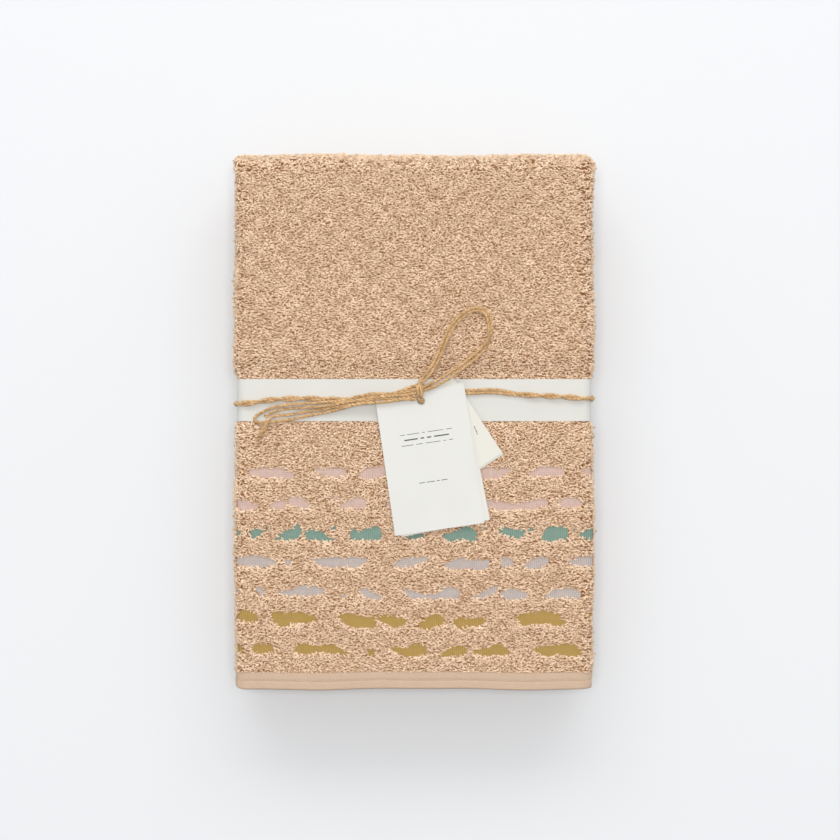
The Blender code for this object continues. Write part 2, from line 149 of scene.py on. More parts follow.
def clothFrame(towel, u, v, offset):
    # surface places with their outward normals, a tangent along u, and how far the surface is stretched
    step = 0.3 * mm
    base = clothPoint(towel, u, v, offset)
    alongU = clothPoint(towel, u + step, v, offset) - clothPoint(towel, u - step, v, offset)
    alongV = clothPoint(towel, u, v + step, offset) - clothPoint(towel, u, v - step, offset)
    outward = clothPoint(towel, u, v, offset + step) - base
    normal = np.cross(alongU, alongV)
    spread = np.linalg.norm(normal, axis=1) / (4 * step * step)
    normal *= np.sign(np.sum(normal * outward, axis=1, keepdims=True))
    normal /= np.linalg.norm(normal, axis=1, keepdims=True) + 1e-12
    tangent = alongU / (np.linalg.norm(alongU, axis=1, keepdims=True) + 1e-12)
    return base, normal, tangent, spread


bathTowel = {
    "flat": (1.0, 1.5),
    "plyPitch": 3.0 * mm,
    "cloth": 2.6 * mm,
    "ground": 1.0 * mm,
    "hemWidth": 12.6 * mm,
    "hemThickness": 2.1 * mm,
    "backTurn": 6.5 * mm,
    "selvedgeSetback": 4 * mm,
    "innerHemSetback": 2 * mm,
}


def foldBathTowel(towel):
    pitch, cloth = towel["plyPitch"], towel["cloth"]
    half, strip = towelHigh.x, 3 * pitch + cloth
    leftTurn = -half + cloth / 2 + pitch / 2
    rightTurn = half - cloth / 2 - 1.5 * pitch
    selvedge = rightTurn - towel["selvedgeSetback"]
    full = rightTurn - leftTurn
    towel["widthLine"] = traceFold((selvedge, pitch / 2), math.pi, [
        ("run", selvedge - leftTurn), ("bend", pitch / 2, 2, -1),
        ("run", full), ("bend", 1.5 * pitch, 2, -1),
        ("run", full), ("bend", pitch / 2, 2, -1),
        ("run", selvedge - leftTurn),
    ])
    level = [towelHigh.z - strip / 2 - index * 4 * pitch for index in range(4)]
    back, front, turn = towelHigh.y, towelLow.y, towel["backTurn"]
    outerLine = back - strip / 2
    innerBend = outerLine - strip - (pitch - cloth) - 2 * pitch
    frontBend = front + strip / 2 + 2 * pitch
    drop = level[0] - level[3] - 2 * turn
    towel["lengthLine"] = traceFold((front, level[0]), 0, [
        ("run", outerLine - turn - front), ("bend", turn, 1, -1),
        ("run", drop), ("bend", turn, 1, -1),
        ("run", outerLine - turn - frontBend), ("bend", 2 * pitch, 2, -1),
        ("run", innerBend - frontBend), ("bend", 2 * pitch, 2, 1),
        ("run", innerBend - front - towel["innerHemSetback"]),
    ])


def bends(line):
    # arc length at the start and end of each bend, in order
    turning = np.linalg.norm(np.diff(line["normal"], axis=0), axis=1) > 1e-6
    edges = np.flatnonzero(np.diff(np.concatenate([[0], turning.astype(int), [0]])))
    return [(line["arc"][a], line["arc"][b]) for a, b in edges.reshape(-1, 2)]


handTowel = {
    "flat": (0.5, 1.0),
    "plyPitch": 3.0 * mm,
    "cloth": 2.6 * mm,
    "ground": 1.0 * mm,
    "hemWidth": 12.6 * mm,
    "hemThickness": 2.1 * mm,
    "selvedge": 7 * mm,
    "backTurn": 3.4 * mm,
    "hemSetback": 4 * mm,
}


def foldHandTowel(towel):
    pitch, cloth = towel["plyPitch"], towel["cloth"]
    half, strip = handHigh.x, pitch + cloth
    leftTurn, rightEdge = -half + cloth / 2 + pitch / 2, half - cloth / 2
    towel["widthLine"] = traceFold((rightEdge, -pitch / 2), math.pi, [
        ("run", rightEdge - leftTurn), ("bend", pitch / 2, 2, -1), ("run", rightEdge - leftTurn),
    ])
    level = [strip / 2 + index * 2 * pitch for index in range(3)]
    front, back, turn = handLow.y, handHigh.y, towel["backTurn"]
    backBend = back - strip / 2 - pitch
    frontLine = front + strip / 2
    start = frontLine + strip / 2 + towel["hemSetback"]
    towel["lengthLine"] = traceFold((start, level[1]), 0, [
        ("run", backBend - start), ("bend", pitch, 2, 1),
        ("run", backBend - frontLine - turn), ("bend", turn, 1, 1),
        ("run", level[2] - level[0] - 2 * turn), ("bend", turn, 1, 1),
        ("run", back - towel["hemSetback"] - frontLine - turn),
    ])


def stationsAlong(line, runStep):
    arcs = line["arc"]
    stations = [arcs[0]]
    for start, end in zip(arcs, arcs[1:]):
        pieces = max(1, math.ceil((end - start) / runStep))
        stations += [start + (end - start) * part / pieces for part in range(1, pieces + 1)]
    return np.array(stations)


def gridFaces(rows, columns, first=0):
    index = first + np.arange(rows * columns).reshape(rows, columns)
    corners = (index[:-1, :-1], index[1:, :-1], index[1:, 1:], index[:-1, 1:])
    return np.stack([corner.ravel() for corner in corners], 1)


def meshObject(name, points, faces, material, smooth=True):
    mesh = bpy.data.meshes.new(name)
    mesh.from_pydata(np.asarray(points).tolist(), [], [[int(corner) for corner in face] for face in faces])
    mesh.materials.append(material)
    if smooth:
        mesh.shade_smooth()
    piece = bpy.data.objects.new(name, mesh)
    bpy.context.scene.collection.objects.link(piece)
    return piece


def fastMesh(name, points, faces, material):
    # the same for large arrays of equal-sided faces
    mesh = bpy.data.meshes.new(name)
    sides = faces.shape[1]
    mesh.vertices.add(len(points))
    mesh.vertices.foreach_set("co", np.ascontiguousarray(points, np.float32).ravel())
    mesh.loops.add(faces.size)
    mesh.loops.foreach_set("vertex_index", np.ascontiguousarray(faces, np.int32).ravel())
    mesh.polygons.add(len(faces))
    mesh.polygons.foreach_set("loop_start", np.arange(0, faces.size, sides, dtype=np.int32))
    mesh.update(calc_edges=True)
    mesh.materials.append(material)
    mesh.shade_smooth()
    piece = bpy.data.objects.new(name, mesh)
    bpy.context.scene.collection.objects.link(piece)
    return piece


# The hem is sewn down along one line, with a stitch every few millimetres.
hemStitch = {
    "line": 6.2 * mm,
    "press": 0.35,
    "pressWidth": 0.7 * mm,
    "spacing": 2.7,
    "thread": 0.24 * mm,
    "edgeRound": 1.1 * mm,
}


def closedSheet(towel, name, uStations, vStations, halfThickness, material, edgeRound=0.0):
    # both faces of a stretch of cloth and the edges between them, as one closed skin
    uGrid, vGrid = np.meshgrid(uStations, vStations, indexing="ij")
    u, v = uGrid.ravel(), vGrid.ravel()
    ends = np.minimum(v - vStations[0], vStations[-1] - v) if edgeRound else np.full(len(v), 1.0)
    share = np.sqrt(np.clip(1 - (1 - np.clip(ends / max(edgeRound, 1e-9), 0, 1)) ** 2, 0.04, 1))
    if edgeRound:
        # the stitched line presses the doubled hem flat
        fromLine = (ends - hemStitch["line"]) / hemStitch["pressWidth"]
        share = share * (1 - hemStitch["press"] * np.exp(-(fromLine**2)))
    top = clothPoint(towel, u, v, halfThickness * share)
    bottom = clothPoint(towel, u, v, -halfThickness * share)
    rows, columns = uGrid.shape
    count = rows * columns
    outer = gridFaces(rows, columns)
    inner = gridFaces(rows, columns, count)[:, ::-1]
    index = np.arange(count).reshape(rows, columns)
    rim = np.concatenate([index[:, 0], index[-1, 1:], index[-2::-1, -1], index[0, -2:0:-1]])
    following = np.roll(rim, -1)
    side = np.stack([rim, following, following + count, rim + count], 1)
    faces = np.concatenate([outer, inner, side[:, ::-1]])
    piece = fastMesh(name, np.concatenate([top, bottom]), faces, material)
    edit = bmesh.new()
    edit.from_mesh(piece.data)
    bmesh.ops.recalc_face_normals(edit, faces=edit.faces)
    edit.to_mesh(piece.data)
    edit.free()
    return piece


# Woven border, all in mm: each sunken dash runs from x to x, with its upper and lower edges at even steps.
dashEdge = {"step": 0.5, "ragged": 0.32, "roundEnds": 1.1, "overlap": 0.7}
borderDashes = {
    "pink": [
        (-117, -85, [-33.4, -32.8, -32.8, -36.2], [-38, -39.2, -39.4, -40.3]),
        (-71, -48, [-33, -32.8, -32.8, -33.6], [-34.3, -38.6, -39, -38.3]),
        (-39, -17, [-35.8, -32.6, -31.3, -31.2], [-39.3, -41.2, -38.6, -36.6]),
        (47, 69.5, [-32.8, -32.7, -32.9, -33.2], [-40, -40.8, -39, -34.3]),
        (81.5, 107, [-37, -32.2, -31.2, -31.6, -34.6], [-38.1, -38, -37.9, -38.2, -37.8]),
        (119.3, 133, [-32.4, -32.6, -33.4], [-36.8, -38.2, -38]),
        (-133, -110.5, [-56, -55.3, -54.8, -58.5], [-60, -61.5, -62.6, -61.2]),
        (-102.2, -89.5, [-58.4, -55.8, -55.4], [-60.6, -61.2, -60.4]),
        (-88.8, -73, [-55, -51.8, -53.6, -57.5], [-57.4, -59.6, -62.5, -60.4]),
        (-59, -53, [-53, -52.8], [-54.4, -54.5]),
        (-52.6, -33.4, [-58.2, -55.8, -52, -54.6], [-60.3, -60.6, -60.5, -61]),
        (-19.5, -8, [-57, -56], [-59.8, -60.4]),
        (45, 94.3, [-55, -55.4, -57.2, -57.8, -55.2, -53.6], [-59.5, -61.4, -62.3, -62.2, -60.8, -58.6]),
        (101.3, 118.8, [-56.2, -53, -53.4, -56.8], [-58.8, -60.8, -60.2, -58.4]),
    ],
    "teal": [
        (-133, -122, [-75.5, -74.6, -75.4], [-80.4, -81.6, -80.6]),
        (-115.6, -105.7, [-76.2, -75, -75.4, -76.6], [-80.4, -82.4, -81.2, -78.4]),
        (-104, -102, [-73.4, -72.6], [-76.2, -76.4]),
        (-98, -78.8, [-81.8, -79.2, -76.6, -75.2, -72.2, -75.4],
         [-82.7, -82.8, -82.8, -82.8, -82.8, -79.4]),
        (-77, -56.6, [-77.6, -76, -76, -77.4, -80.4, -82.4], [-82.3, -83, -83, -83.4, -83.6, -83.8]),
        (-60, -55, [-74, -73.8], [-75.6, -76]),
        (-45, -22.6, [-75, -76.2, -77, -75, -74.7, -72.2, -76], [-82.8, -83, -83, -83, -83, -83, -82.4]),
        (-17, -14, [-75.2, -74.6], [-76.8, -76.2]),
        (-5, 7.4, [-80.2, -78, -78.5], [-82, -82.6, -80.8]),
        (20.2, 44.7, [-80.3, -77.8, -76.6, -73.6, -72.8, -79], [-81.8, -83.9, -82.8, -82.3, -84.4, -82.6]),
        (48, 51, [-75, -74.6], [-76.6, -76.2]),
        (59.6, 79, [-75, -74.4, -75.6, -76, -75.3], [-77.4, -80.4, -81.4, -82.6, -78.2]),
        (80.3, 84, [-75.2, -74.4], [-77, -76.6]),
        (89.4, 108.3, [-79.2, -74.4, -73.4, -73.4, -75.6], [-83.4, -84.3, -83.2, -82.7, -82.4]),
        (111, 113, [-74.6, -74.2], [-78.6, -79.2]),
        (116.2, 133, [-78.2, -75.4, -75.2, -76], [-80.4, -82.6, -82.9, -82.6]),
    ],
    "lilac": [
        (-124, -96.4, [-95, -94.5, -94.7, -95.4, -98.2], [-101.4, -101.8, -102, -102, -99.8]),
        (-90.5, -86, [-97, -96.4, -98], [-100.4, -101.4, -100.4]),
        (-72.5, -32.8, [-96.4, -96, -95, -95.5, -94.8, -96.6],
         [-97.4, -101, -102.7, -101.4, -102.7, -98.2]),
        (-15, 9.8, [-99.2, -96, -95.2, -95.2], [-101.4, -102.2, -101, -97.4]),
        (20.8, 53, [-100.6, -97, -95.2, -97.5, -97.2, -96.6],
         [-102.2, -103, -103.4, -103.2, -104.9, -101.8]),
        (60.4, 70, [-96, -95.4, -99], [-101.6, -102.4, -100.4]),
        (76.2, 94.4, [-101.2, -97.2, -95.1, -95.5], [-102.4, -103.2, -103, -98.3]),
        (107, 133, [-98.2, -95.2, -94.6, -94.8], [-99.3, -101.2, -101.6, -101.4]),
        (-133, -121.4, [-117, -117, -118.4], [-121.4, -121.2, -120.2]),
        (-112, -104.8, [-116.8, -114.9, -119], [-118.4, -121.9, -120.8]),
        (-96.4, -61.2, [-119.4, -118.4, -116.2, -114.9, -115.3, -119.2],
         [-120.8, -122, -121.8, -122.3, -121, -119.8]),
        (-52, -47, [-121.4, -121], [-122.8, -123.2]),
        (-39.2, -22.2, [-117.8, -116.4, -118.8, -121, -122.2], [-119.8, -123.2, -124.6, -124.7, -124.4]),
        (-7.2, 32.2, [-117.6, -118.6, -120.8, -121, -121, -117.4, -116.2, -119],
         [-119.4, -124, -124.3, -124, -124.1, -124.1, -124.4, -123.6]),
        (18, 24, [-115.2, -115.2], [-116, -116]),
        (41.8, 59.4, [-121.8, -119.5, -117.4, -115.8], [-123.8, -124.2, -122, -118.8]),
        (60.4, 80.4, [-120.6, -117, -117.6, -118.4, -121.6], [-122.4, -124.4, -124.7, -124.2, -123]),
        (91.4, 117.2, [-121.4, -117.6, -117, -116.4, -119.8], [-122.8, -123.8, -123.9, -124.1, -123.8]),
    ],
    "ochre": [
        (-126, -109.8, [-136, -132.8, -131.8, -133.4, -136.4], [-137.6, -139.3, -139.6, -139.9, -139]),
        (-101, -69, [-133.6, -132.8, -134.4, -134.2, -133, -134.8, -137.8],
         [-137.6, -143.6, -143.8, -141, -141.5, -141.5, -139.4]),
        (-53, -27, [-135.4, -134.4, -134.9, -136.4, -137, -135.8],
         [-136.4, -143, -144.6, -144.4, -144.5, -144.9]),
        (-26, -5.3, [-136.2, -135.7, -136.4, -137, -138.4], [-137.6, -142, -144.2, -144.4, -141.8]),
        (3.4, 21.4, [-141.8, -138, -135.8, -134.8, -136.8], [-143.8, -145.8, -145.2, -143.6, -142]),
        (27.6, 50, [-139.4, -137, -138, -138.4, -136.8, -137.8],
         [-142, -145.2, -144.4, -142.8, -143.4, -140.2]),
        (70.3, 107.8, [-137.2, -135, -134, -133.3, -133.6, -135.4, -140.6],
         [-138, -143.5, -142, -141.7, -142, -143.4, -142.6]),
        (122.3, 133, [-134.4, -133.4, -133.4], [-136.2, -137.6, -137.4]),
        (-133, -121.4, [-158, -156.4, -157.8], [-161.2, -162.6, -161.6]),
        (-115, -99.2, [-157.4, -155.5, -156, -158.4], [-161, -162.9, -162.6, -160.6]),
        (-84.5, -47.3, [-158, -155.6, -155.6, -158.2, -156.2, -155.3, -158, -161.8],
         [-161, -162.9, -162.9, -161.6, -162, -162.5, -163, -163.4]),
        (-33.4, -27.6, [-161.2, -160, -161.2], [-162.3, -165, -164.2]),
        (-17.8, 9.2, [-158.8, -158, -159.5, -157, -155.5, -159],
         [-159.5, -162, -164.6, -164.6, -164, -163.8]),
        (18.3, 38.4, [-163.6, -160, -157.8, -157.3, -160], [-164.6, -164.6, -164.8, -164.6, -161]),
        (41.2, 68.7, [-160.6, -159.5, -158.4, -155.6, -157, -162],
         [-161.6, -164.3, -164.2, -164.3, -163.6, -162.4]),
        (84.3, 119, [-159.8, -156.9, -157.3, -156, -155.6, -156.6, -161.8],
         [-161, -163.6, -164.1, -162.4, -163.8, -165.2, -163.4]),
    ],
}


def drawBorder():
    # each dash as x, lower edge and upper edge, its edges stepped where loops end
    random = np.random.default_rng(11)
    drawn = []
    for colour, dashes in borderDashes.items():
        for start, end, tops, bottoms in dashes:
            across = np.linspace(start, end, max(5, round((end - start) / dashEdge["step"])))
            share = (across - start) / (end - start)
            edges = []
            for knots in (bottoms, tops):
                edge = np.interp(share, np.linspace(0, 1, len(knots)), knots)
                window = max(1, len(across) // (3 * len(knots)))
                padded = np.pad(edge, window, mode="edge")
                edge = np.convolve(padded, np.ones(2 * window + 1) / (2 * window + 1), mode="valid")
                steps = random.normal(0, dashEdge["ragged"], len(across) // 3 + 1)
                edges.append(edge + np.repeat(steps, 3)[: len(across)])
            middle = (edges[0] + edges[1]) / 2
            rounding = np.clip(np.minimum(across - start, end - across) / dashEdge["roundEnds"], 0, 1)
            rounding = np.sqrt(np.clip(1 - (1 - rounding) ** 2, 0.1, 1))
            drawn.append((colour, across, *(middle + (edge - middle) * rounding for edge in edges)))
    return drawn


def insideDashes(dashes, x, y, margin=0.0):
    # x and y in mm on the towel's top, before it is tied
    inside = np.zeros(len(x), bool)
    for _, across, low, high in dashes:
        near = (x > across[0] - margin) & (x < across[-1] + margin)
        under = np.interp(x, across, low) - margin
        over = np.interp(x, across, high) + margin
        inside |= near & (y > under) & (y < over)
    return inside


def topColumns(towel):
    # where each column of the cloth's top face shows from above: flat coordinate and x
    left, right = bends(towel["widthLine"])[:2]
    u = np.linspace(sum(left) / 2, sum(right) / 2, 500)
    seen = clothPoint(towel, u, np.full(len(u), 100 * mm), towel["ground"] / 2)
    return u, seen[:, 0]


# Materials: every one is made of nodes, with its colour, grain and relief.
def newMaterial(name, roughness, sheen=0.0):
    material = bpy.data.materials.new(name)
    material.use_nodes = True
    nodes = material.node_tree.nodes
    shader = nodes["Principled BSDF"]
    shader.inputs["Roughness"].default_value = roughness
    shader.inputs["Sheen Weight"].default_value = sheen
    shader.inputs["Specular IOR Level"].default_value = 0.2
    return material, nodes, material.node_tree.links, shader


def addNode(nodes, kind, settings=None, **values):
    node = nodes.new(kind)
    for key, value in (settings or {}).items():
        setattr(node, key, value)
    for key, value in values.items():
        node.inputs[key].default_value = value
    return node


def mixColours(nodes, links, factor, first, second, blend="MIX"):
    # factor, first and second are each a socket or a value
    node = nodes.new("ShaderNodeMix")
    node.data_type = "RGBA"
    node.blend_type = blend
    for socket, value in ((node.inputs[0], factor), (node.inputs[6], first), (node.inputs[7], second)):
        if hasattr(value, "is_linked"):
            links.new(value, socket)
        else:
            socket.default_value = value
    return node.outputs[2]


def mathNode(nodes, links, operation, first, second=0.0, third=None):
    node = nodes.new("ShaderNodeMath")
    node.operation = operation
    for socket, value in zip(node.inputs, (first, second, third)):
        if value is None:
            continue
        if hasattr(value, "is_linked"):
            links.new(value, socket)
        else:
            socket.default_value = value
    return node.outputs[0]


def addBump(nodes, links, shader, height, strength, distance):
    bump = addNode(nodes, "ShaderNodeBump", Strength=strength, Distance=distance)
    links.new(height, bump.inputs["Height"])
    links.new(bump.outputs["Normal"], shader.inputs["Normal"])


def noiseNode(nodes, links, place, **values):
    # the strength of a noise laid out over the place's socket
    noise = addNode(nodes, "ShaderNodeTexNoise", **values)
    links.new(place, noise.inputs["Vector"])
    return noise.outputs["Fac"]


def rampNode(nodes, links, factor, stops):
    # stops are pairs of position and colour, in order
    ramp = nodes.new("ShaderNodeValToRGB")
    elements = ramp.color_ramp.elements
    for element, (position, colour) in zip(elements, (stops[0], stops[-1])):
        element.position = position
        element.color = colour
    for position, colour in stops[1:-1]:
        elements.new(position).color = colour
    links.new(factor, ramp.inputs["Fac"])
    return ramp.outputs["Color"]


def shaded(colour, share):
    return tuple(min(1.0, share * channel) for channel in colour[:3]) + (1,)


terryLook = {
    # along each loop: a painted highlight on the crown, a middle tone, and painted shade at the feet and on
    # the underside
    "crownHighlight": (0.98, 0.76, 0.56, 1),
    "side": (0.86, 0.61, 0.41, 1),
    "footShade": (0.39, 0.17, 0.055, 1),
    # painted highlight for loops at the rounded edges
    "edge": (1.0, 0.80, 0.58, 1),
    # painted shade: the cloth lying deep between the loops
    "ground": (0.38, 0.165, 0.05, 1),
    "hem": (0.59, 0.43, 0.31, 1),
    "stitch": (0.72, 0.52, 0.36, 1),
    "low": (0.58, 0.42, 0.27, 1),  # painted shade on loops that lie flat and painted light on those that stand, mixed with random tone
    "high": (1.18, 1.21, 1.25, 1),
}


def pileMaterial():
    material, nodes, links, shader = newMaterial("terryPile", 0.92, sheen=0.45)
    shader.inputs["Sheen Roughness"].default_value = 0.6
    shader.inputs["Sheen Tint"].default_value = (1.0, 0.86, 0.7, 1)
    pile = addNode(nodes, "ShaderNodeAttribute", {"attribute_name": "pile"})
    parts = addNode(nodes, "ShaderNodeSeparateColor")
    links.new(pile.outputs["Color"], parts.inputs["Color"])
    # painted shade at the loop's feet and underside, rising to a painted highlight on its crown
    stops = [(0.0, terryLook["footShade"]), (0.5, terryLook["side"]), (1.0, terryLook["crownHighlight"])]
    yarn = rampNode(nodes, links, parts.outputs["Red"], stops)
    # random tone, with painted light on loops that stand and painted shade on those that lie low
    toneAndPaintedLight = mixColours(nodes, links, parts.outputs["Green"], terryLook["low"], terryLook["high"])
    colour = mixColours(nodes, links, 1.0, yarn, toneAndPaintedLight, "MULTIPLY")
    # painted highlight at the rounded edges, strongest on the loops' crowns
    lit = mathNode(nodes, links, "MULTIPLY_ADD", parts.outputs["Red"], 0.6, 0.3)
    lit = mathNode(nodes, links, "MULTIPLY", parts.outputs["Blue"], lit)
    colour = mixColours(nodes, links, lit, colour, terryLook["edge"])
    place = addNode(nodes, "ShaderNodeTexCoord").outputs["Object"]
    patches = noiseNode(nodes, links, place, Scale=38.0, Detail=3.0)
    cloudy = mixColours(nodes, links, patches, (0.9, 0.88, 0.86, 1), (1.0, 1.0, 1.0, 1))
    colour = mixColours(nodes, links, 1.0, colour, cloudy, "MULTIPLY")
    links.new(colour, shader.inputs["Base Color"])
    fibres = noiseNode(nodes, links, place, Scale=5200.0, Detail=2.0)
    addBump(nodes, links, shader, fibres, 0.5, 0.00015)
    return material


def weaveHeight(nodes, links, pitch, wobble):
    # plain weave: threads over and under each other, from two crossed waves
    place = addNode(nodes, "ShaderNodeTexCoord")
    drift = addNode(nodes, "ShaderNodeTexNoise", Scale=160.0, Detail=2.0)
    links.new(place.outputs["Object"], drift.inputs["Vector"])
    shift = addNode(nodes, "ShaderNodeVectorMath", {"operation": "SCALE"}, Scale=wobble)
    links.new(drift.outputs["Color"], shift.inputs[0])
    moved = addNode(nodes, "ShaderNodeVectorMath", {"operation": "ADD"})
    links.new(place.outputs["Object"], moved.inputs[0])
    links.new(shift.outputs[0], moved.inputs[1])
    axes = addNode(nodes, "ShaderNodeSeparateXYZ")
    links.new(moved.outputs[0], axes.inputs[0])
    turns = 2 * math.pi / pitch
    alongX = mathNode(nodes, links, "SINE", mathNode(nodes, links, "MULTIPLY", axes.outputs["X"], turns))
    alongY = mathNode(nodes, links, "SINE", mathNode(nodes, links, "MULTIPLY", axes.outputs["Y"], turns))
    crossed = mathNode(nodes, links, "MULTIPLY", alongX, alongY)
    return mathNode(nodes, links, "MULTIPLY_ADD", crossed, 0.5, 0.5), alongX, alongY


def weaveMaterial(name, light, dark, pitch=1.4 * mm, depth=0.0004, speck=None):
    material, nodes, links, shader = newMaterial(name, 0.85, sheen=0.05)
    height, alongX, alongY = weaveHeight(nodes, links, pitch, 0.0009)
    # a lighter and a darker copy of one colour, mixed in waves at the thread pitch: painted light along the
    # thread rows, painted shade between them
    threads = mathNode(nodes, links, "MULTIPLY_ADD", alongX, 0.14, 0.5)
    threads = mathNode(nodes, links, "MULTIPLY_ADD", alongY, 0.36, threads)
    colour = mixColours(nodes, links, threads, dark, light)
    place = addNode(nodes, "ShaderNodeTexCoord").outputs["Object"]
    uneven = noiseNode(nodes, links, place, Scale=420.0, Detail=3.0)
    shade = mixColours(nodes, links, uneven, (0.72, 0.72, 0.72, 1), (1.12, 1.12, 1.12, 1))
    colour = mixColours(nodes, links, 1.0, colour, shade, "MULTIPLY")
    if speck:
        # pale warp threads that show between the coloured ones
        shows = mathNode(nodes, links, "SUBTRACT", alongX, alongY)
        shows = mathNode(nodes, links, "MULTIPLY_ADD", shows, 0.9, -0.85)
        shows = mathNode(nodes, links, "MAXIMUM", shows, 0.0)
        shows = mathNode(nodes, links, "MINIMUM", shows, 0.6)
        colour = mixColours(nodes, links, shows, colour, speck)
    links.new(colour, shader.inputs["Base Color"])
    addBump(nodes, links, shader, height, 0.8, depth)
    return material


def groundMaterial(name, light):
    # the cloth under the loops: painted shade on its upward faces, deep between loops on top, and lighter
    # down the sides where loops stand apart; its weave's hollows get painted shade too
    material, nodes, links, shader = newMaterial(name, 0.9, sheen=0.2)
    height = weaveHeight(nodes, links, 1.4 * mm, 0.0009)[0]
    facing = addNode(nodes, "ShaderNodeNewGeometry")
    axes = addNode(nodes, "ShaderNodeSeparateXYZ")
    links.new(facing.outputs["Normal"], axes.inputs[0])
    upward = mathNode(nodes, links, "MULTIPLY_ADD", axes.outputs["Z"], 1.6, -0.3)
    upward = mathNode(nodes, links, "MINIMUM", mathNode(nodes, links, "MAXIMUM", upward, 0.0), 1.0)
    colour = mixColours(nodes, links, upward, light, terryLook["ground"])
    shade = mixColours(nodes, links, height, (0.5, 0.45, 0.4, 1), (1.0, 1.0, 1.0, 1))
    colour = mixColours(nodes, links, 1.0, colour, shade, "MULTIPLY")
    links.new(colour, shader.inputs["Base Color"])
    addBump(nodes, links, shader, height, 0.8, 0.0004)
    return material


def hemMaterial():
    # tight flat weave with fine ribs along the hem; the ribs' relief also colours them, with painted light
    # on their crowns and painted shade in their hollows
    material, nodes, links, shader = newMaterial("hemWeave", 0.85, sheen=0.08)
    place = addNode(nodes, "ShaderNodeTexCoord").outputs["Object"]
    stretch = addNode(nodes, "ShaderNodeMapping", Scale=(260, 1500, 1500))
    links.new(place, stretch.inputs["Vector"])
    ribs = noiseNode(nodes, links, stretch.outputs[0], Scale=1.0, Detail=4.0, Roughness=0.6)
    cloudy = noiseNode(nodes, links, place, Scale=60.0, Detail=2.0)
    colour = mixColours(nodes, links, ribs, shaded(terryLook["hem"], 0.82), shaded(terryLook["hem"], 1.1))
    shade = mixColours(nodes, links, cloudy, (0.93, 0.92, 0.91, 1), (1.03, 1.03, 1.03, 1))
    colour = mixColours(nodes, links, 1.0, colour, shade, "MULTIPLY")
    links.new(colour, shader.inputs["Base Color"])
    addBump(nodes, links, shader, ribs, 0.5, 0.0003)
    return material


def paperMaterial(name, colour):
    material, nodes, links, shader = newMaterial(name, 0.7)
    place = addNode(nodes, "ShaderNodeTexCoord").outputs["Object"]
    fibres = noiseNode(nodes, links, place, Scale=900.0, Detail=5.0, Roughness=0.65)
    cloudy = noiseNode(nodes, links, place, Scale=32.0, Detail=3.0)
    base = mixColours(nodes, links, cloudy, shaded(colour, 0.94), shaded(colour, 1.02))
    specks = mixColours(nodes, links, fibres, (0.965, 0.963, 0.96, 1), (1.0, 1.0, 1.0, 1))
    links.new(mixColours(nodes, links, 1.0, base, specks, "MULTIPLY"), shader.inputs["Base Color"])
    addBump(nodes, links, shader, fibres, 0.25, 0.00012)
    return material


juteLook = [
    (0.3, (0.29, 0.145, 0.055, 1)),
    (0.5, (0.64, 0.415, 0.21, 1)),
    (0.72, (0.93, 0.69, 0.43, 1)),
]


def juteMaterial():
    # fibres run along each ply: the twist attribute is arc length, angle round the ply, and ply number
    material, nodes, links, shader = newMaterial("juteTwine", 0.85, sheen=0.1)
    twist = addNode(nodes, "ShaderNodeAttribute", {"attribute_name": "twist"})
    stretch = addNode(nodes, "ShaderNodeMapping", Scale=(420, 2.4, 3.7))
    links.new(twist.outputs["Vector"], stretch.inputs["Vector"])
    fibres = noiseNode(nodes, links, stretch.outputs[0], Scale=1.0, Detail=5.0, Roughness=0.7)
    strand = rampNode(nodes, links, fibres, juteLook)
    place = addNode(nodes, "ShaderNodeTexCoord").outputs["Object"]
    patches = noiseNode(nodes, links, place, Scale=130.0, Detail=2.0)
    shade = mixColours(nodes, links, patches, (0.74, 0.70, 0.64, 1), (1.12, 1.1, 1.06, 1))
    links.new(mixColours(nodes, links, 1.0, strand, shade, "MULTIPLY"), shader.inputs["Base Color"])
    addBump(nodes, links, shader, fibres, 0.7, 0.0002)
    return material


# Terry loops: bent tubes of yarn standing on the ground weave.
pileLoops = {
    "stray": 0.07,  # share of loops that stand proud along the rounded edges
    "topPitch": 1.08 * mm,
    "edgePitch": 1.17 * mm,
    "sidePitch": 1.6 * mm,
    "height": 1.2 * mm,
    "footGap": (0.85 * mm, 2.3 * mm),
    "lean": (0.1 * mm, 0.9 * mm),
    "curl": 0.32 * mm,
    "yarn": (0.27 * mm, 0.46 * mm),
    "facesPerPiece": 190000,
    "oversow": 0.62,  # how much closer loops are sown over a bend before they are thinned
    "rimSize": 1.15,
    "sideSize": 1.5,
    "underSize": 1.45,
    "yarnSides": 3,
}
loopShares = np.array([0.0, 0.22, 0.5, 0.78, 1.0])


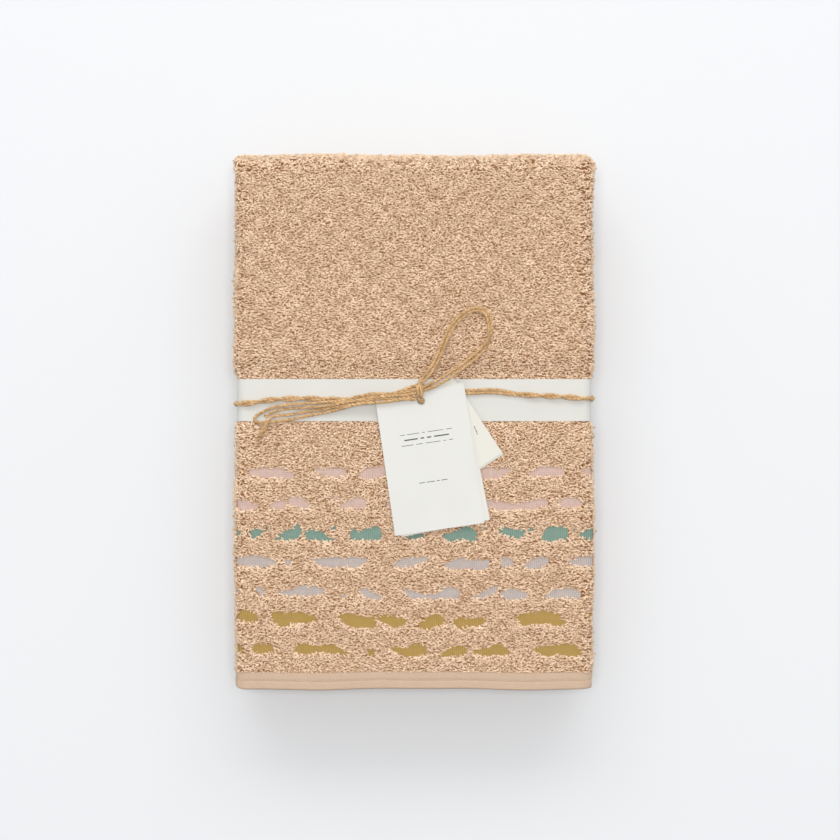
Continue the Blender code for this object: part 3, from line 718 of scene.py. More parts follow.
def buildLoops(name, base, normal, tangent, uv, random, material, size, hang):
    s = pileLoops
    count = len(base)
    binormal = np.cross(normal, tangent)

    def inPlane(angle):
        return tangent * np.cos(angle)[:, None] + binormal * np.sin(angle)[:, None]

    # loops lie every way, but mostly across the towel near its right edge and in drifting patches elsewhere
    x, y, z = base.T
    drift = 0.5 + 0.5 * np.sin(x * 61 + 2 * np.sin(y * 37)) * np.cos(y * 47 + x * 19)
    combed = 0.45 + 0.3 * drift + 0.18 * smoothRamp((x - 70 * mm) / (45 * mm))
    spreadAngle = math.pi / 2 * (1 - combed)
    angle = random.uniform(-1, 1, count) * spreadAngle + math.pi * random.integers(0, 2, count)
    angle = angle + hang * random.uniform(-1.2, 1.2, count)
    feet = inPlane(angle) * (random.uniform(*s["footGap"], count) * size * (1 + 0.35 * hang))[:, None]
    leanAngle = random.uniform(0, 2 * math.pi, count)
    edge = 1 - smoothRamp(normal[:, 2] * 1.15)
    loose = size * (1 + 0.6 * hang + 0.6 * edge)
    lean = inPlane(leanAngle) * (random.uniform(*s["lean"], count) * loose)[:, None]
    sideways = np.cross(normal, feet)
    sideways /= np.linalg.norm(sideways, axis=1, keepdims=True) + 1e-12
    curl = sideways * (random.normal(0, s["curl"], count) * size)[:, None]
    # pile stands in soft tufts a few millimetres wide, and is fuller at the rounded edges, where its loops
    # also get a painted highlight
    tuft = np.sin(x * 830 + 1.7 * np.sin(y * 410)) * np.sin(y * 760 + 1.9 * np.sin(x * 350))
    tuft = 0.5 * tuft + 0.5 * np.sin(x * 290 + z * 300) * np.sin(y * 330 + z * 280)
    stand = np.clip(random.uniform(0, 1, count) ** 0.8 + 0.35 * tuft, 0, 1)
    stray = edge * (random.uniform(0, 1, count) < s["stray"])
    rising = 0.4 + 0.6 * stand + 0.2 * edge + 0.7 * stray
    height = normal * (s["height"] * rising * size)[:, None]
    yarn = random.uniform(*s["yarn"], count) * size
    shares = loopShares
    rise = 4 * shares * (1 - shares)
    middle = (
        base[:, None, :]
        + feet[:, None, :] * (shares - 0.5)[None, :, None]
        + (height + lean)[:, None, :] * (rise**0.8)[None, :, None]
        + curl[:, None, :] * np.sin(2 * math.pi * shares)[None, :, None]
    )
    middle[:, :, 2] = np.maximum(middle[:, :, 2], (yarn + 0.1 * mm)[:, None])  # none goes under the floor
    along = np.gradient(middle, axis=1)
    along /= np.linalg.norm(along, axis=2, keepdims=True) + 1e-12
    across = np.cross(along, normal[:, None, :] + 0.15 * tangent[:, None, :])
    across /= np.linalg.norm(across, axis=2, keepdims=True) + 1e-12
    upward = np.cross(across, along)
    corners = np.radians([30, 150, 270])  # a flat side faces up; one angle for each of the yarn's sides
    ring = across[:, :, None, :] * np.cos(corners)[None, None, :, None]
    ring = ring + upward[:, :, None, :] * np.sin(corners)[None, None, :, None]
    points = middle[:, :, None, :] + ring * yarn[:, None, None, None]
    steps, sides = len(shares), s["yarnSides"]
    local = []
    for step in range(steps - 1):
        for side in range(sides):
            after = (side + 1) % sides
            local.append([step * sides + side, step * sides + after,
                          (step + 1) * sides + after, (step + 1) * sides + side])
    faces = (np.array(local)[None] + (np.arange(count) * steps * sides)[:, None, None]).reshape(-1, 4)
    piece = fastMesh(name, points.reshape(-1, 3), faces, material)
    # red: painted highlight along each loop's crown, painted shade at its feet and on the yarn's downward
    # side
    crownHighlight = np.repeat(rise[None, :, None], count, 0) - 0.5 * (np.sin(corners) < 0)[None, None, :]
    colour = np.ones((count, steps, sides, 4), np.float32)
    colour[..., 0] = np.clip(crownHighlight, 0, 1)
    # green: painted light on loops that stand tall and on the longer loops below the dashes, painted shade
    # on low ones, plus random tone
    bright = 0.7 * stand + 0.4 * random.uniform(0, 1, count) + 0.3 * hang
    colour[..., 1] = np.clip(bright, 0, 1)[:, None, None]
    # blue: painted highlight where the cloth turns down at the rounded edges
    colour[..., 2] = edge[:, None, None]
    attribute = piece.data.attributes.new("pile", "FLOAT_COLOR", "POINT")
    attribute.data.foreach_set("color", colour.ravel())
    # texture coordinates: where each loop stands on the flat cloth
    spread = np.einsum("nsck,nk->nsc", points - base[:, None, None, :], tangent)
    spreadV = np.einsum("nsck,nk->nsc", points - base[:, None, None, :], binormal)
    low, high = uv.min(0) - 3 * mm, uv.max(0) + 3 * mm
    flat = np.stack([uv[:, None, None, 0] + spread, uv[:, None, None, 1] + spreadV], -1).reshape(-1, 2)
    flat = np.clip((flat - low) / (high - low), 0.002, 0.998)
    layer = piece.data.uv_layers.new(name="OFBake")
    layer.data.foreach_set("uv", flat[faces.ravel()].astype(np.float32).ravel())
    return piece


def scatter(uRange, vRange, pitch, random):
    # rows of loops with each one moved a little from its place
    columns = max(1, round((uRange[1] - uRange[0]) / pitch))
    rows = max(1, round((vRange[1] - vRange[0]) / pitch))
    across, along = (np.arange(columns) + 0.5) / columns, (np.arange(rows) + 0.5) / rows
    u, v = np.meshgrid(across, along, indexing="ij")
    u = uRange[0] + u.ravel() * (uRange[1] - uRange[0])
    v = vRange[0] + v.ravel() * (vRange[1] - vRange[0])
    u += random.uniform(-0.42, 0.42, len(u)) * pitch
    v += random.uniform(-0.42, 0.42, len(v)) * pitch
    return np.clip(u, *uRange), np.clip(v, *vRange)


def underBand(points):
    return np.abs(points[:, 1] - stackShape["waistY"]) < stackShape["waistHalf"] - 0.5 * mm


def sowLoops(towel, region, random, dashes, stretched):
    # over a bend the tied cloth is stretched, so loops are sown closer and thinned to an even cover
    uRange, vRange, pitch, size = region
    closer = pileLoops["oversow"] if stretched else 1
    u, v = scatter(uRange, vRange, pitch * closer, random)
    if dashes is not None:
        columns, seenX = topColumns(towel)
        x = np.interp(u, columns, seenX) / mm
        y = (v + towelLow.y) / mm
        bare = insideDashes(dashes, x, y, 0.1) & (u > columns[0]) & (u < columns[-1])
        u, v = u[~bare], v[~bare]
    base, normal, tangent, spread = clothFrame(towel, u, v, towel["ground"] / 2)
    keep = ~underBand(base)
    if stretched:
        keep &= random.uniform(0, 1, len(u)) < spread * closer**2
    base, normal, tangent = base[keep], normal[keep], tangent[keep]
    hang = np.zeros(len(base)) if dashes is None else belowDashes(dashes, base / mm)
    return base, normal, tangent, np.column_stack([u, v])[keep], np.full(len(base), size), hang


def plantPile(towel, name, regions, seed, material, dashes=None, stretched=True):
    random = np.random.default_rng(seed)
    sown = [sowLoops(towel, region, random, dashes, stretched) for region in regions]
    base, normal, tangent, uv, size, hang = (np.concatenate(values) for values in zip(*sown))
    perLoop = (len(loopShares) - 1) * pileLoops["yarnSides"] * 2
    parts = math.ceil(len(base) * perLoop / pileLoops["facesPerPiece"])
    order = np.argsort(uv[:, 1], kind="stable")
    pieces = []
    for part, chosen in enumerate(np.array_split(order, parts)):
        label = f"{name}_{part + 1}" if parts > 1 else name
        pieces.append(buildLoops(label, base[chosen], normal[chosen], tangent[chosen], uv[chosen], random,
                                 material, size[chosen], hang[chosen]))
    return pieces


def belowDashes(dashes, places):
    # 1 just below a dash, where loops hang longer and looser, and 0 elsewhere
    hang = np.zeros(len(places))
    for _, across, low, _ in dashes:
        near = (places[:, 0] > across[0]) & (places[:, 0] < across[-1])
        under = np.interp(places[:, 0], across, low) - places[:, 1]
        hang = np.maximum(hang, near * (under > 0) * np.clip(1 - under / 4.5, 0, 1))
    return hang


def makeDashes(towel, dashes, materials):
    pieces = []
    columns, seenX = topColumns(towel)
    for colour, material in materials.items():
        points, faces, total = [], [], 0
        for kind, across, low, high in dashes:
            if kind != colour:
                continue
            shares = np.linspace(0, 1, 7)
            inner = (across > seenX[0] / mm) & (across < seenX[-1] / mm)
            across = across[inner]
            low, high = low[inner] - dashEdge["overlap"], high[inner] + dashEdge["overlap"]
            if len(across) < 2:
                continue
            x = np.repeat(across[:, None], len(shares), 1)
            y = low[:, None] + (high - low)[:, None] * shares[None, :]
            u = np.interp(x.ravel() * mm, seenX, columns)
            v = y.ravel() * mm - towelLow.y
            crown = 0.16 * mm * np.sin(math.pi * np.tile(shares, len(across)))
            grid = clothPoint(towel, u, v, towel["ground"] / 2 + 0.06 * mm + crown)
            points.append(grid)
            faces.append(gridFaces(len(across), len(shares), total))
            total += len(grid)
        name = f"dashes{colour.capitalize()}"
        pieces.append(fastMesh(name, np.concatenate(points), np.concatenate(faces), material))
    return pieces


def makeStitches(towel, material):
    # a row of short stitches along the hem's pressed line
    columns, seenX = topColumns(towel)
    random = np.random.default_rng(5)
    skins = []
    for middle in np.arange(-122, 123, hemStitch["spacing"]):
        x = (middle + np.array([-1.05, -0.4, 0.4, 1.05]) + random.uniform(-0.15, 0.15)) * mm
        lift = towel["hemThickness"] / 2 * 0.65 + np.array([-0.12, 0.12, 0.12, -0.12]) * mm
        v = np.full(4, hemStitch["line"] + random.uniform(-0.12, 0.12) * mm)
        line = clothPoint(towel, np.interp(x, seenX, columns), v, lift)
        skins.append(tubeSkin(line, hemStitch["thread"], 4, middle))
    return joinSkins("hemStitches", skins, material)


def makeHem(towel, name, uStations, start, rows, material):
    stations = np.linspace(start, start + towel["hemWidth"], rows)
    half = towel["hemThickness"] / 2
    return closedSheet(towel, name, uStations, stations, half, material, edgeRound=hemStitch["edgeRound"])


def makeBathTowel(materials):
    print("bath towel: folding")
    towel = bathTowel
    foldBathTowel(towel)
    uStations = stationsAlong(towel["widthLine"], 9 * mm)
    vStations = stationsAlong(towel["lengthLine"], 6 * mm)
    cloth = closedSheet(
        towel, "bathTowelCloth", uStations, vStations, towel["ground"] / 2, materials["ground"])
    vEnd = towel["lengthLine"]["arc"][-1]
    hems = []
    for name, start in (("hemTop", 0), ("hemSecond", vEnd - towel["hemWidth"])):
        hems.append(makeHem(towel, name, uStations, start, 27, materials["hem"]))
    hems.append(makeStitches(towel, materials["stitch"]))
    print("bath towel: border dashes")
    dashes = drawBorder()
    dashPieces = makeDashes(towel, dashes, materials["dashes"])
    print("bath towel: terry loops")
    widthBends, lengthBends = bends(towel["widthLine"]), bends(towel["lengthLine"])
    left, right, lowerLeft = widthBends
    pitch, sidePitch = pileLoops["topPitch"], pileLoops["sidePitch"]
    hem = towel["hemWidth"] - 0.4 * mm
    backBend = (lengthBends[0][0], lengthBends[1][1])
    topLength, allLength = (hem, backBend[0]), (backBend[1], vEnd - towel["hemWidth"])
    topPly, topEdge = (left[1], right[0]), pileLoops["edgePitch"]
    rim, side, under = pileLoops["rimSize"], pileLoops["sideSize"], pileLoops["underSize"]
    pilePatches = {
        "bathPileTop": [(topPly, topLength, pitch, 1.0)],
        "bathPileRims": [(left, topLength, topEdge, rim), (right, topLength, topEdge, rim)],
        "bathPileEnds": [
            (topPly, backBend, topEdge, rim),
            (right, backBend, sidePitch, side),
            (topPly, lengthBends[2], sidePitch, side),
        ],
        "bathPileLeft": [
            (left, backBend, sidePitch, side),
            (left, allLength, sidePitch, side),
            (lowerLeft, allLength, sidePitch, under),
            (lowerLeft, (hem, backBend[1]), sidePitch, under),
        ],
        "bathPileRight": [(right, allLength, sidePitch, side)],
    }
    pile = []
    for name, patches in pilePatches.items():
        onTop = name in ("bathPileTop", "bathPileRims")
        pile += plantPile(towel, name, patches, 20 + len(pile), materials["pile"],
                          dashes if onTop else None, stretched=name != "bathPileTop")
    own = [*hems, *dashPieces, *pile]
    for piece in [cloth, *own]:
        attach(piece, "stack")
    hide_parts("bath_towel")


def makeHandTowel(materials):
    print("hand towel: folding and terry loops")
    towel = handTowel
    foldHandTowel(towel)
    uStations = stationsAlong(towel["widthLine"], 9 * mm)
    vStations = stationsAlong(towel["lengthLine"], 8 * mm)
    cloth = closedSheet(
        towel, "handTowelCloth", uStations, vStations, towel["ground"] / 2, materials["handGround"])
    vEnd = towel["lengthLine"]["arc"][-1]
    own = [makeHem(towel, "handHem", uStations, vEnd - towel["hemWidth"], 12, materials["hem"])]
    fold = bends(towel["widthLine"])[0]
    lengthBends = bends(towel["lengthLine"])
    uEnd = towel["widthLine"]["arc"][-1]
    inner = vStations[vStations < vEnd - towel["hemWidth"]]
    for name, start in (("handSelvedgeLower", 0), ("handSelvedgeUpper", uEnd - towel["selvedge"])):
        strip = np.linspace(start, start + towel["selvedge"], 8)
        own.append(closedSheet(towel, name, strip, inner, towel["hemThickness"] / 2, materials["hem"]))
    pitch, size = pileLoops["sidePitch"], pileLoops["underSize"]
    full = (towel["hemWidth"], vEnd - towel["hemWidth"])
    lowSide = (0, fold[1])
    ends = (lengthBends[1][0], lengthBends[2][1])
    pilePatches = {
        "handPileLeft": [((fold[0] - 1.5 * mm, fold[1] + 1.5 * mm), full, pitch, size)],
        "handPileEnds": [(lowSide, lengthBends[0], pitch, size), (lowSide, ends, pitch, size)],
    }
    for seed, (name, patches) in enumerate(pilePatches.items()):
        own += plantPile(towel, name, patches, 31 + seed, materials["pile"])
    for piece in [cloth, *own]:
        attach(piece, "stack")
    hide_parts("hand_towel")


# Jute twine. Routes are lists of (x, y, height over the band), in mm, as the frame's solids have them.
twine = {
    "diameter": 2.0 * mm,
    "plyPitch": 6.5 * mm,
    "pairTurn": 30 * mm,
    "sides": 7,
    "step": 0.8 * mm,
    "tagSweep": 66 * mm,  # how far out the tags swing, where the wraps lie flat and their hairs low
    "hairGap": 0.12 * mm,
    "flatLeft": 40 * mm,
    "pairRadius": 0.98 * mm,
}
twineRoutes = {
    "bow_loop_outer": [
        (3.4, 27.3, 8.2), (6, 30.6, 7.7), (10.2, 36, 7.0), (14.8, 44, 6.2), (19.3, 55, 4.6),
        (24.5, 65.8, 3.5),
        (31.5, 74.2, 3.3), (37.8, 78.6, 3.3), (44.1, 80.3, 3.3), (50, 78.4, 3.3), (53.8, 73.2, 3.3),
        (54.6, 65.5, 4.2), (52.6, 58.8, 6.0), (48.2, 52.6, 5.0), (40.6, 45.4, 4.8), (32.9, 39.4, 6.1),
        (22.4, 32.4, 6.8), (14, 27.8, 6.9), (8.1, 24.7, 6.9),
    ],
    "bow_loop_inner": [
        (5.9, 26.8, 8.2), (8.7, 29.8, 7.7), (12.8, 35.2, 7.0), (17.3, 43, 6.2), (21.8, 54, 4.6),
        (26.7, 64.3, 3.5),
        (33, 72.1, 3.3), (38.8, 76.1, 3.3), (44, 77.6, 3.3), (48.5, 76.2, 3.3), (51.2, 72, 3.3),
        (52.1, 65.6, 3.3), (52.1, 60, 3.3), (51, 54, 3.3), (47.4, 48.2, 3.5), (42, 43.1, 4.4),
        (34.4, 37.2, 6.0),
        (23.9, 30.0, 6.7), (15.8, 25.3, 6.8), (8.4, 21.9, 6.9),
    ],
    "left_loop": [
        (0.2, 22.6, 7.6), (-6, 21.2, 6.9), (-14, 20.5, 6.4), (-20, 21.2, 6.3), (-25, 21.9, 6.2),
        (-31, 21.2, 6.2),
        (-36, 19.6, 5.7), (-42, 17.3, 5.0), (-50, 15.3, 4.2), (-58, 14.1, 3.7), (-70, 12.9, 3.6),
        (-83, 12.3, 3.5),
        (-91, 11.5, 3.2), (-97, 10.2, 2.4), (-103, 8.2, 1.6), (-108, 5.6, 1.4), (-111.4, 3.0, 1.4),
        (-111.6, 0.9, 1.3), (-109, -0.5, 1.3), (-104, -0.7, 1.3), (-96, 0.2, 1.3), (-86, 1.5, 1.3),
        (-76, 3.8, 1.3), (-64, 6.0, 1.5), (-52, 7.9, 2.7), (-42, 9.8, 4.5), (-34, 11.7, 6.1),
        (-24, 12.7, 6.2),
        (-14, 13.1, 6.2), (-5, 14.0, 6.3), (2.0, 15.8, 6.4),
    ],
    "upper_end": [
        (-0.1, 20.3, 7.0), (-7, 18.8, 6.4), (-14, 18.0, 6.2), (-24, 17.6, 6.2), (-34, 16.7, 6.1),
        (-42, 14.8, 5.3),
        (-50, 12.8, 4.3), (-58, 11.5, 3.7), (-70, 10.2, 2.9), (-83, 9.4, 1.7), (-91, 8.8, 1.4),
        (-97, 7.2, 1.3),
        (-101, 5.4, 1.3), (-105, 3.6, 1.3),
    ],
    "lower_end": [
        (1.0, 18.0, 6.8), (-6, 16.5, 6.4), (-14, 15.6, 6.2), (-24, 15.2, 6.2), (-34, 14.2, 6.1),
        (-42, 12.3, 5.0),
        (-50, 10.5, 3.5), (-59, 9.3, 2.2), (-68, 8.1, 1.4), (-76, 6.8, 1.3), (-88, 4.7, 1.3),
        (-96, 4.1, 1.3),
        (-99.6, 3.0, 1.9), (-102.2, 0.9, 3.3), (-103.8, -2.0, 3.7), (-105, -5.6, 3.3), (-106.8, -9.2, 3.2),
        (-109.4, -12.2, 3.4),
    ],
}
wrapRoute = {
    "left": [
        (2.3, 25.7), (-4, 23.6), (-12, 20.6), (-20, 18.6), (-28, 17.4), (-41, 16.7),
        (-55, 16.6), (-69, 17.2), (-83, 17.3), (-98, 16.6), (-110, 14.9), (-117, 13.8),
    ],
    "right": [
        (6.1, 25.7), (12, 24.4), (20, 23.1), (37, 22.0), (56, 22.4), (74, 20.2), (91, 19.3), (107, 18.4),
        (117, 17.4),
    ],
    "pitch": 2.5,
    "lift": 1.3,
    "corner": 7.85,
    "under": 3.65,
    "bandLaps": 1.15,  # both laps of the band underneath, with their gaps
}
tagLoop = {
    "diameter": 1.8 * mm,
    "fullness": 1.2,
    "beside": (0.85, -0.35, 0.1),
    "route": [
        (4.4, 16.2, 6.8), (4.7, 15.2, 6.3), (4.9, 14.3, 5.4), (4.9, 14.0, 4.3), (4.9, 14.0, 3.2),
        (4.85, 14.5, 2.2),
        (4.75, 15.7, 1.5), (4.6, 17.4, 1.3), (4.4, 19.8, 1.3), (4.4, 22.2, 1.3),
    ],
}


def overBand(route):
    route = np.array(route, float) * mm
    route[:, 2] += bandTop
    return route


def smoothRoute(points, step):
    # points about one step apart on the smooth curve through the given ones
    points = np.asarray(points, float)
    padded = np.concatenate([[2 * points[0] - points[1]], points, [2 * points[-1] - points[-2]]])
    route = []
    for before, start, end, after in zip(padded, padded[1:], padded[2:], padded[3:]):
        pieces = max(1, round(float(np.linalg.norm(end - start)) / step))
        share = (np.arange(pieces) / pieces)[:, None]
        bend = (2 * before - 5 * start + 4 * end - after) * share**2
        twistPart = (3 * start - before - 3 * end + after) * share**3
        route.append(0.5 * (2 * start + (end - before) * share + bend + twistPart))
    route.append(points[-1:])
    return np.concatenate(route)


def arcLength(path):
    return np.concatenate([[0], np.cumsum(np.linalg.norm(np.diff(path, axis=0), axis=1))])


def sideFrames(path):
    # tangent and two steady side directions at each point
    tangent = np.gradient(path, axis=0)
    tangent /= np.linalg.norm(tangent, axis=1, keepdims=True) + 1e-12
    side = np.cross(tangent[0], [0.1, 0.2, 1.0])
    sides = []
    for direction in tangent:
        side = side - direction * np.dot(side, direction)
        side = side / np.linalg.norm(side)
        sides.append(side)
    sides = np.array(sides)
    return tangent, sides, np.cross(tangent, sides)


def tubeSkin(path, radius, sides, twistAttribute):
    # vertices, faces and twist coordinates of one round tube with closed ends
    _, side, other = sideFrames(path)
    angles = np.arange(sides) * 2 * math.pi / sides
    ring = side[:, None, :] * np.cos(angles)[None, :, None]
    ring = ring + other[:, None, :] * np.sin(angles)[None, :, None]
    radius = np.broadcast_to(radius, len(path))
    points = path[:, None, :] + ring * radius[:, None, None]
    count = len(path)
    index = np.arange(count * sides).reshape(count, sides)
    after = np.roll(index, -1, axis=1)
    corners = np.stack([index[:-1], after[:-1], after[1:], index[1:]], -1)
    faces = [list(face) for face in corners.reshape(-1, 4)]
    faces.append(list(index[0][::-1]))
    faces.append(list(index[-1]))
    arc = arcLength(path)
    twist = np.zeros((count, sides, 3))
    twist[..., 0] = arc[:, None]
    twist[..., 1] = np.abs(angles / math.pi - 1)[None, :]
    twist[..., 2] = twistAttribute
    return points.reshape(-1, 3), faces, twist.reshape(-1, 3)


def joinSkins(name, skins, material):
    points, faces, twists, total = [], [], [], 0
    for skinPoints, skinFaces, twist in skins:
        points.append(skinPoints)
        faces += [[corner + total for corner in face] for face in skinFaces]
        twists.append(twist)
        total += len(skinPoints)
    piece = meshObject(name, np.concatenate(points), faces, material)
    attribute = piece.data.attributes.new("twist", "FLOAT_VECTOR", "POINT")
    attribute.data.foreach_set("vector", np.concatenate(twists).astype(np.float32).ravel())
    return piece


def plySkins(path, diameter, seed, frayed=0.0):
    # two plies twisted round the strand's line, a little uneven, as jute is
    random = np.random.default_rng(seed)
    _, side, other = sideFrames(path)
    arc = arcLength(path)
    uneven = 0.25 * np.sin(arc / (9 * mm) + random.uniform(0, 6))
    uneven = uneven + 0.18 * np.sin(arc / (3.7 * mm) + random.uniform(0, 6))
    turn = 2 * math.pi * arc / twine["plyPitch"] + uneven + random.uniform(0, 6)
    loose = np.zeros(len(arc))
    if frayed:
        loose = np.clip((arc - (arc[-1] - frayed)) / frayed, 0, 1)
    skins = []
    for ply in range(2):
        angle = turn + math.pi * ply
        swell = 1 + 0.09 * np.sin(arc / (2.3 * mm) + ply * 2 + seed)
        swell = swell + 0.08 * np.sin(arc / (5.1 * mm) + ply + 3 * seed)
        reach = diameter * (0.27 + 0.3 * loose)
        thick = diameter * (0.35 - 0.17 * loose) * swell
        aside = side * np.cos(angle)[:, None] + other * np.sin(angle)[:, None]
        middle = path + aside * np.reshape(reach, (-1, 1))
        skins.append(tubeSkin(middle, thick, twine["sides"], seed * 2.0 + ply))
    return skins


def frayedTips(path, length, seed):
    # thin bundles of fibre that fan out of an untied end
    random = np.random.default_rng(seed)
    arc = arcLength(path)
    tail = path[arc > arc[-1] - length]
    skins = []
    for side in (-1.0, -0.65, -0.3, 0.1, 0.45, 0.8, 1.1):
        share = np.linspace(0, 1, len(tail))
        fan = side * (0.6 + 2.3 * share**1.2) * mm
        line = tail + np.column_stack([fan, fan * 0.35, 0.25 * mm * np.sin(share * 5 + side)])
        line = line[: max(6, int(len(line) * random.uniform(0.72, 1.0)))]
        skins.append(tubeSkin(line, np.linspace(0.62, 0.3, len(line)) * mm, 5, seed + side))
    return skins


def fuzzSkins(path, count, longest, radius, seed, fromArc=0.0, underTags=False):
    # loose fibres that stand off the strand; the wraps' stay below the tags, as far out as these swing
    random = np.random.default_rng(seed)
    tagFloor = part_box("leaflet")[0].z - twine["hairGap"]
    tangent, side, other = sideFrames(path)
    arc = arcLength(path)
    skins = []
    for hair in range(count):
        at = np.searchsorted(arc, random.uniform(fromArc, arc[-1] * 0.995))
        at = min(at, len(path) - 1)
        angle = random.uniform(0, 2 * math.pi)
        outward = side[at] * math.cos(angle) + other[at] * math.sin(angle)
        if outward[2] < -0.2:
            outward = outward * np.array([1, 1, -1])
        forward = tangent[at] * random.choice([-1, 1]) * random.uniform(0.4, 1.3)
        bend = np.cross(outward, tangent[at]) * random.normal(0, 0.5)
        length = random.uniform(0.35, 1.0) * longest
        start = path[at] + outward * radius * 0.8
        share = np.linspace(0, 1, 4)[:, None]
        line = start + (forward + outward * 0.55) * length * share * 0.6 + bend * length * share**2 * 0.5
        line[:, 2] += (-0.15 * length * share**2)[:, 0]
        if underTags:
            swept = np.abs(line[:, 0]) < twine["tagSweep"]
            line[swept, 2] = np.minimum(line[swept, 2], tagFloor)
        thin = np.array([0.08, 0.07, 0.055, 0.03]) * mm
        skins.append(tubeSkin(line, thin, 3, random.uniform(0, 50)))
    return skins


def wrapPath(shift):
    # the ring from the knot's left side, down, under the stack and back to the knot's right side
    w = wrapRoute
    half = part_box("twine_wrap_back")[1].x - twine["diameter"] / 2
    corner = w["corner"] * mm
    low = (w["under"] - w["bandLaps"]) * mm - twine["diameter"] / 2
    high = bandTop + w["lift"] * mm
    left = overBand([(x, y + shift, w["lift"]) for x, y in w["left"]])
    right = overBand([(x, y + shift, w["lift"]) for x, y in w["right"][::-1]])
    leftY, rightY = left[-1][1], right[0][1]

    def quarter(centreX, centreZ, first, y):
        angles = np.radians(first + np.linspace(0, 90, 9))
        return [(centreX + corner * math.cos(a), y, centreZ + corner * math.sin(a)) for a in angles]

    path = list(map(tuple, smoothRoute(left, twine["step"])))
    path += quarter(-half + corner, high - corner, 90, leftY)
    path += quarter(-half + corner, low + corner, 180, leftY)
    path += quarter(half - corner, low + corner, -90, rightY)
    path += quarter(half - corner, high - corner, 0, rightY)
    path += list(map(tuple, smoothRoute(right, twine["step"])))
    return evenSteps(np.array(path), twine["step"])


def evenSteps(path, step):
    arc = arcLength(path)
    keep = np.concatenate([[True], np.diff(arc) > 1e-7])
    path, arc = path[keep], arc[keep]
    places = np.linspace(0, arc[-1], int(arc[-1] / step) + 1)
    return np.stack([np.interp(places, arc, path[:, axis]) for axis in range(3)], 1)


def twistPair(first, second):
    # the two strands of the wrap turn slowly round each other, except under the tags
    count = min(len(first), len(second))
    places = np.linspace(0, 1, count)
    resampled = []
    for path in (first, second):
        arc = arcLength(path) / arcLength(path)[-1]
        resampled.append(np.stack([np.interp(places, arc, path[:, axis]) for axis in range(3)], 1))
    middle = (resampled[0] + resampled[1]) / 2
    onTop = middle[:, 2] > bandTop
    free = np.where(middle[:, 0] > 0, twine["tagSweep"], twine["flatLeft"])
    shown = np.where(onTop, smoothRamp((np.abs(middle[:, 0]) - free) / (16 * mm)), 0.5)
    shown = np.where(onTop | (middle[:, 2] > 20 * mm), shown, 0)
    shown = np.convolve(np.pad(shown, 10, mode="edge"), np.ones(21) / 21, mode="valid")
    tangent = np.gradient(middle, axis=0)
    tangent /= np.linalg.norm(tangent, axis=1, keepdims=True)
    inward = np.zeros_like(middle)
    inward[:, 1] = 1
    outward = np.cross(inward, tangent)
    outward *= np.sign(outward[:, 2:3] * np.sign(middle[:, 2:3] - stackTop / 2) + 1e-9)
    sideHalf = (resampled[0] - resampled[1]) / 2
    arc = arcLength(middle)
    turn = 2 * math.pi * arc / twine["pairTurn"]
    radius = twine["pairRadius"]
    raised = outward * (radius * 0.75 * shown)[:, None]
    pair = []
    for sign, flat in ((1, sideHalf), (-1, -sideHalf)):
        twisted = inward * (sign * radius * np.cos(turn))[:, None]
        twisted = twisted + outward * (sign * radius * np.sin(turn))[:, None]
        offset = 0.85 * flat * (1 - shown)[:, None] + (twisted + raised) * shown[:, None]
        pair.append(middle + offset)
    return pair


# How the tied strands settle: the bundle left of the knot draws together and its strands cross.
bundle = {
    "from": -64 * mm,
    "to": 3 * mm,
    "draw": 0.34,
    "raise": {"left_loop": 0.0, "upper_end": 0.75 * mm, "lower_end": 0.1 * mm},
    "wander": 0.45 * mm,
    "bowCentre": (36 * mm, 58 * mm),
    "bowDraw": {"bow_loop_outer": 0.975, "bow_loop_inner": 1.004},
}


def settle(path, node, seed):
    path = path.copy()
    if node in bundle["bowDraw"]:
        centre = np.array(bundle["bowCentre"])
        away = smoothRamp((path[:, 1] - 30 * mm) / (14 * mm))[:, None]
        scale = 1 + (bundle["bowDraw"][node] - 1) * away
        path[:, :2] = centre + (path[:, :2] - centre) * scale
        arc = arcLength(path)
        wave = np.sin(arc / (7 * mm) + 3 * (node == "bow_loop_inner"))
        path[:, 2] += away[:, 0] * 0.3 * mm * (1 + wave)
        return path
    x, y = path[:, 0], path[:, 1]
    inBundle = smoothRamp((x - bundle["from"]) / (20 * mm)) * smoothRamp((bundle["to"] - x) / (9 * mm))
    middle = np.interp(x, np.array([-70, -42, -14, 2]) * mm, np.array([10.4, 13.8, 17.2, 18.4]) * mm)
    path[:, 1] = y + (middle - y) * bundle["draw"] * inBundle
    path[:, 1] += bundle["wander"] * np.sin(x / (5.5 * mm) + 1.7 * seed) * inBundle
    lower = smoothRamp((middle - y) / (2 * mm)) if node == "left_loop" else np.zeros(len(x))
    path[:, 2] += (bundle["raise"][node] + 0.75 * mm * lower) * inBundle
    return path


